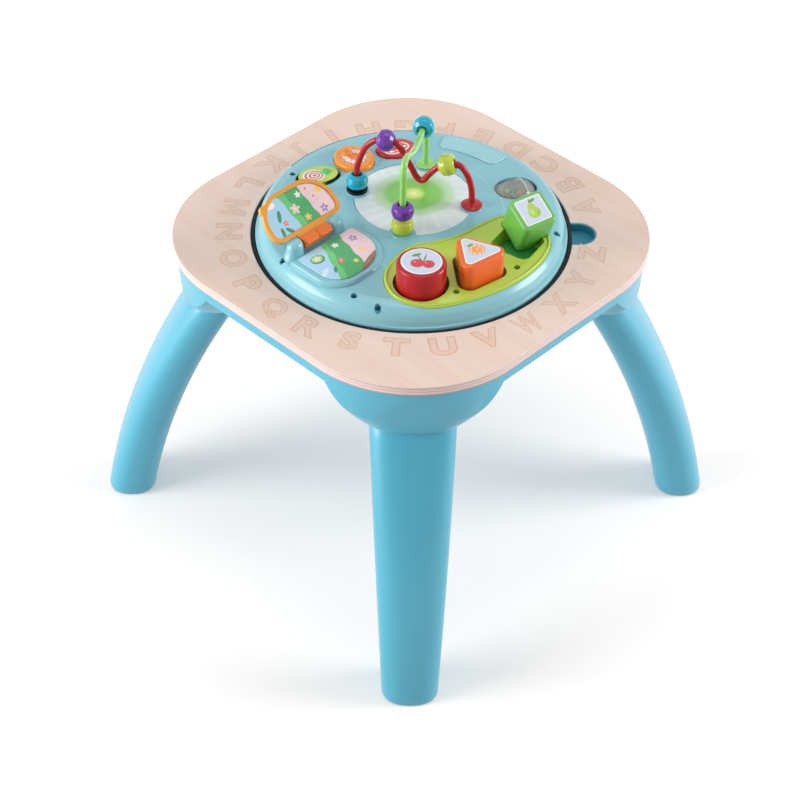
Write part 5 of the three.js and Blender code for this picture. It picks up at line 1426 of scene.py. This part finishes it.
def flapOutline(inset):
    half, low, high = book["half"] - inset, book["root"] + inset, book["long"] - inset
    root, corner = max(book["rootCorner"] - inset, 4), book["corner"] - inset
    return softPath([(book["shift"] - half, low, root), (book["shift"] + half, low, root),
                     (book["shift"] + half, high, corner), (book["shift"] - half, high, corner)],
                     closed=True, steps=14, most=0.75)


def makeBook():
    half = book["thick"] / 2
    rim = prism(flapOutline(0), -half, half)
    tab = moved(prism(ovalOutline(book["tabRadius"], book["tabRadius"], 32), -half, half), at(*book["tab"]))
    rim = carve(rim, [tab], "UNION")
    rim = carve(rim, [prism(flapOutline(book["bar"]), -9, 9)])
    web = prism([Vector((-21, 0)), Vector((21, 0)), Vector((21, 12.5)), Vector((-21, 12.5))], -half, half)
    rim = carve(rim, [web], "UNION")
    makePiece("book_frame", rim, frameOrange, "book", ["book_flap"], onFlap,
              bevel=1.5, segments=4)
    profile = softPath([(0, -21, 0), (7.3, -21, 0.9), (7.3, -0.4, 0.1), (7.0, 0, 0.1), (7.3, 0.4, 0.1),
                        (7.3, 21, 0.9), (0, 21, 0)])
    drum = alongX(lathe(profile, 40))
    ridges = [prism(roundedOutline(9.2, 5.2, 1.4, 5), 6.4, 7.75, topEase=0.5) for side in (-1, 1)]
    lid = [moved(ridge, at(side * 10.2)) for side, ridge in zip((-1, 1), ridges)]
    makePiece("book_drum", merged(drum, *lid), drumOrange, "book",
              place=onFlap, smooth=50)

    sky, meadow, shadow, pink = (168, 214, 238), (52, 168, 92), (34, 138, 92), (242, 208, 216)
    sun, cloud, lilac, coral = (250, 206, 84), (250, 250, 250), (160, 130, 200), (234, 96, 100)

    def flowers(spots):
        layers = []
        for x, y, size, tone in spots:
            layers.append(blob(tone, x, y, size, petals=5, depth=0.32, soft=0.2))
            layers.append(blob((250, 236, 170), x, y, 0.3 * size))
        return layers
    slope = -81.8
    garden = [bank(meadow, 22.8, 0.6, 3, 0.5, slope), bank((96, 196, 110), 3, 0.8, 3, 2, slope),
              bank(sky, -6.1, 0.8, 4, 1.2, slope), blob(cloud, -30, 52, 6, 2.4),
              blob(cloud, -27, 54, 4, 2.4), blob(shadow, -27, 38, 7.5, 2.6, 62),
              blob(shadow, -34, 20, 6, 2.2, 80), blob(shadow, -24, 18, 7, 2.4, 130),
              blob(coral, 23, 52, 1.4), blob(sun, 25, 46, 1.4), blob(coral, 27, 40, 1.4),
              blob(sun, 29, 34, 1.4), blob(sun, 37, 44, 4)]
    garden += flowers([(-3, 37, 5, pink), (6, 22, 3.6, sun), (10, 50, 3.2, cloud), (-24, 28, 3, coral),
                       (31, 22, 4.2, lilac)])
    page = prism(flapOutline(book["bar"] + 0.3), -1, 1)
    makePiece("book_garden_page", page, picture("garden print", onFlap, pink, garden, roughness=0.26), "book",
              ["book_page"], onFlap)

    pond = [bank(meadow, 26.8, 0.8, 4, 0.2, -104.2), bank((96, 196, 110), 10, 1.2, 5, 1, -113.8),
            bank(sky, 2.5, 0.9, 5, 2, -113.8), blob((206, 234, 246), -34, -52, 9, 3, 30),
            blob(shadow, -24, -29, 9, 7.4), blob((150, 212, 84), -24, -28, 7.2, 5.6),
            blob(shadow, -22, -56, 6, 2.2, 50), blob((118, 80, 58), 20, -70, 22, 4.4, 20),
            blob((152, 108, 76), 20, -68.6, 19, 1.8, 20)]
    pond += flowers([(-24, -28, 4, pink), (8, -24, 3.4, cloud), (-6, -48, 3.8, coral),
                     (32, -28, 4.4, lilac), (26, -50, 3, sun),
                     (6, -60, 2.8, sun)])
    base = prism(list(reversed(plateauOutline(plateau["page"]))), 29.7, 30.5, topEase=0.2)
    makePiece("book_pond_page", base, picture("pond print", onBook, pink, pond, roughness=0.26), "play_panel",
              ["book_base_plate"], onBook)


makeBook()
print("book made")


# Rattle roller

onRoller = onPanel @ at(roller["x"], roller["y"], roller["z"], roller["turn"])


def makeRoller():
    outer, inner = [], []
    for k in range(25):
        share = -1 + k / 12
        swell = sqrt(1 - (share * roller["half"] / roller["curve"]) ** 2)
        outer.append((roller["radius"] * swell, roller["half"] * share, 0))
        inner.append(((roller["radius"] - 1.6) * swell, (roller["half"] - 1.6) * share, 0))
    end = roller["half"]
    profile = [(1.8, -end, 0)] + outer + [(1.8, end, 0),
                                          (1.8, end - 1.6, 0)] + inner[::-1] + [(1.8, 1.6 - end, 0)]
    bm = alongX(lathe(softPath(profile, closed=True), 64, closed=True))
    makePiece("clear_barrel", bm, clearPlastic, "roller", ["rattle_roller"], onRoller,
              smooth=50)
    seam = alongX(lathe([(19.6, 8.6), (21.3, 8.6), (21.3, 9.8), (19.6, 9.8)], 64, closed=True))
    makePiece("barrel_seam", seam, plastic("seam haze", (226, 232, 226), roughness=0.2, clear=0.75),
              "roller", place=onRoller)
    shell = [(25.2 * sqrt(1 - (0.92 * s / 12 - 0.92) ** 2 * 0.72), 25 * (s / 12 - 1), 0) for s in range(25)]
    inside = [(radius - 1, along * 0.97, 0) for radius, along, ease in shell]
    trough = alongX(lathe(softPath(shell + inside[::-1], closed=True), 64, closed=True))
    lid = prism(roundedOutline(40, 40, 5), 7, 60)
    makePiece("roller_trough", carve(trough, [lid]), troughPlastic, "play_panel",
              place=onRoller, smooth=50)
    tones = [purpleGloss, redPlastic, tealGloss, orangePlastic, limeGloss]
    balls = [(-14, 5, -3), (-8, -6, -4), (-1, 7, -4), (4, -7, -4), (10, 5, -3), (14, -5, -2), (-12, -1, 4),
             (-4, 0, 3), (5, 0.5, 4), (-7, 9, 4), (0, -9, 4), (12, 1, 5)]
    shelves = {k: [] for k in range(len(tones))}
    for k, (x, y, z) in enumerate(balls):
        bm = bmesh.new()
        bmesh.ops.create_icosphere(bm, subdivisions=3, radius=3.3)
        shelves[k % len(tones)].append(moved(bm, at(x, y, z)))
    for k, shelf in shelves.items():
        stands = [["rattle_ball_1"], ["rattle_ball_2"]][k] if k < 2 else ()
        makePiece(f"rattle_balls_{k + 1}", merged(*shelf), tones[k], "roller", stands, place=onRoller,
                  smooth=60)


makeRoller()
print("roller made")


# Finishes of the solids that stay

finishes = {
    "panel_bottom_shell": framePlastic, "battery_door": framePlastic, "circuit_board": circuitFinish,
    "speaker": darkPlastic,
    "battery_1": darkPlastic, "battery_2": darkPlastic, "power_switch": darkPlastic,
    "tray_floor": brightGreenPlastic,
    "key_dome_green": siliconeFinish, "key_dome_orange": siliconeFinish, "key_dome_red": siliconeFinish,
    "book_hinge_pin": steelFinish, "roller_axle": steelFinish, "battery_door_screw": steelFinish,
}
for name, node in nodes.items():
    if name.startswith(("leg_bolt", "board_screw", "shell_screw")):
        finishes[name] = steelFinish
    if name in finishes:
        node.data.materials.clear()
        node.data.materials.append(finishes[name])
print("solids finished")


# Floor, light and camera

def makeFloor():
    bm = bmesh.new()
    bmesh.ops.create_grid(bm, x_segments=2, y_segments=2, size=6)
    mesh = bpy.data.meshes.new("floor")
    bm.to_mesh(mesh)
    bm.free()
    floor = bpy.data.objects.new("floor", mesh)
    floor.location.z = -0.0005
    bpy.context.scene.collection.objects.link(floor)
    material, w, shader, coords = startMaterial("pale floor")
    shader.inputs["Base Color"].default_value = (0.85, 0.80, 0.78, 1)
    shader.inputs["Roughness"].default_value = 0.9
    shader.inputs["Specular IOR Level"].default_value = 0.0
    seen = seenRays(w)
    w.feed((1, 1, 1, 1), shader.inputs["Emission Color"])
    away = w.band(w.add("VectorMath", {0: coords}, operation="LENGTH").outputs["Value"], 0.35, 0.95)
    w.feed(w.math("MULTIPLY", seen, w.math("MULTIPLY_ADD", away, 0.44, 0.22)),
           shader.inputs["Emission Strength"])
    mesh.materials.append(material)


lights = [("left light", (-1.5, -2.6, 1.15), 0.25, 2.0, 92), ("right light", (2.0, 2.0, 1.3), 0.25, 1.6, 66),
          ("top light", (-0.3, 0.3, 3.2), 0.3, 1.8, 17)]


def makeLight(name, place, aim, size, power):
    data = bpy.data.lights.new(name, "AREA")
    data.shape = "DISK"
    data.size = size
    data.energy = power
    lamp = bpy.data.objects.new(name, data)
    lamp.location = place
    lamp.rotation_euler = (Vector(aim) - Vector(place)).to_track_quat("-Z", "Y").to_euler()
    bpy.context.scene.collection.objects.link(lamp)


def makeWorld():
    sky = bpy.data.worlds.new("soft room")
    bpy.context.scene.world = sky
    sky.use_nodes = True
    w = Wiring(sky.node_tree)
    back = sky.node_tree.nodes["Background"]
    seen = seenRays(w)
    back.inputs["Color"].default_value = (1, 1, 1, 1)
    w.feed(w.math("MULTIPLY_ADD", seen, 0.64, 0.36), back.inputs["Strength"])


def makeCamera():
    data = bpy.data.cameras.new("camera")
    data.lens = 92.43
    data.sensor_width = 36
    camera = bpy.data.objects.new("camera", data)
    bpy.context.scene.collection.objects.link(camera)
    place, aim = Vector((1.3152, -1.3935, 1.8441)), Vector((-0.0068, -0.0065, 0.1346))
    turn = (aim - place).to_track_quat("-Z", "Y").to_matrix().to_4x4()
    camera.matrix_world = Matrix.Translation(place) @ turn @ Matrix.Rotation(radians(1.127), 4, "Z")
    bpy.context.scene.camera = camera


makeFloor()
makeWorld()
for name, place, aimLevel, size, power in lights:
    makeLight(name, place, (0, 0, aimLevel), size, power)
makeCamera()
bpy.context.scene.view_settings.view_transform = "Standard"
print("stage set")
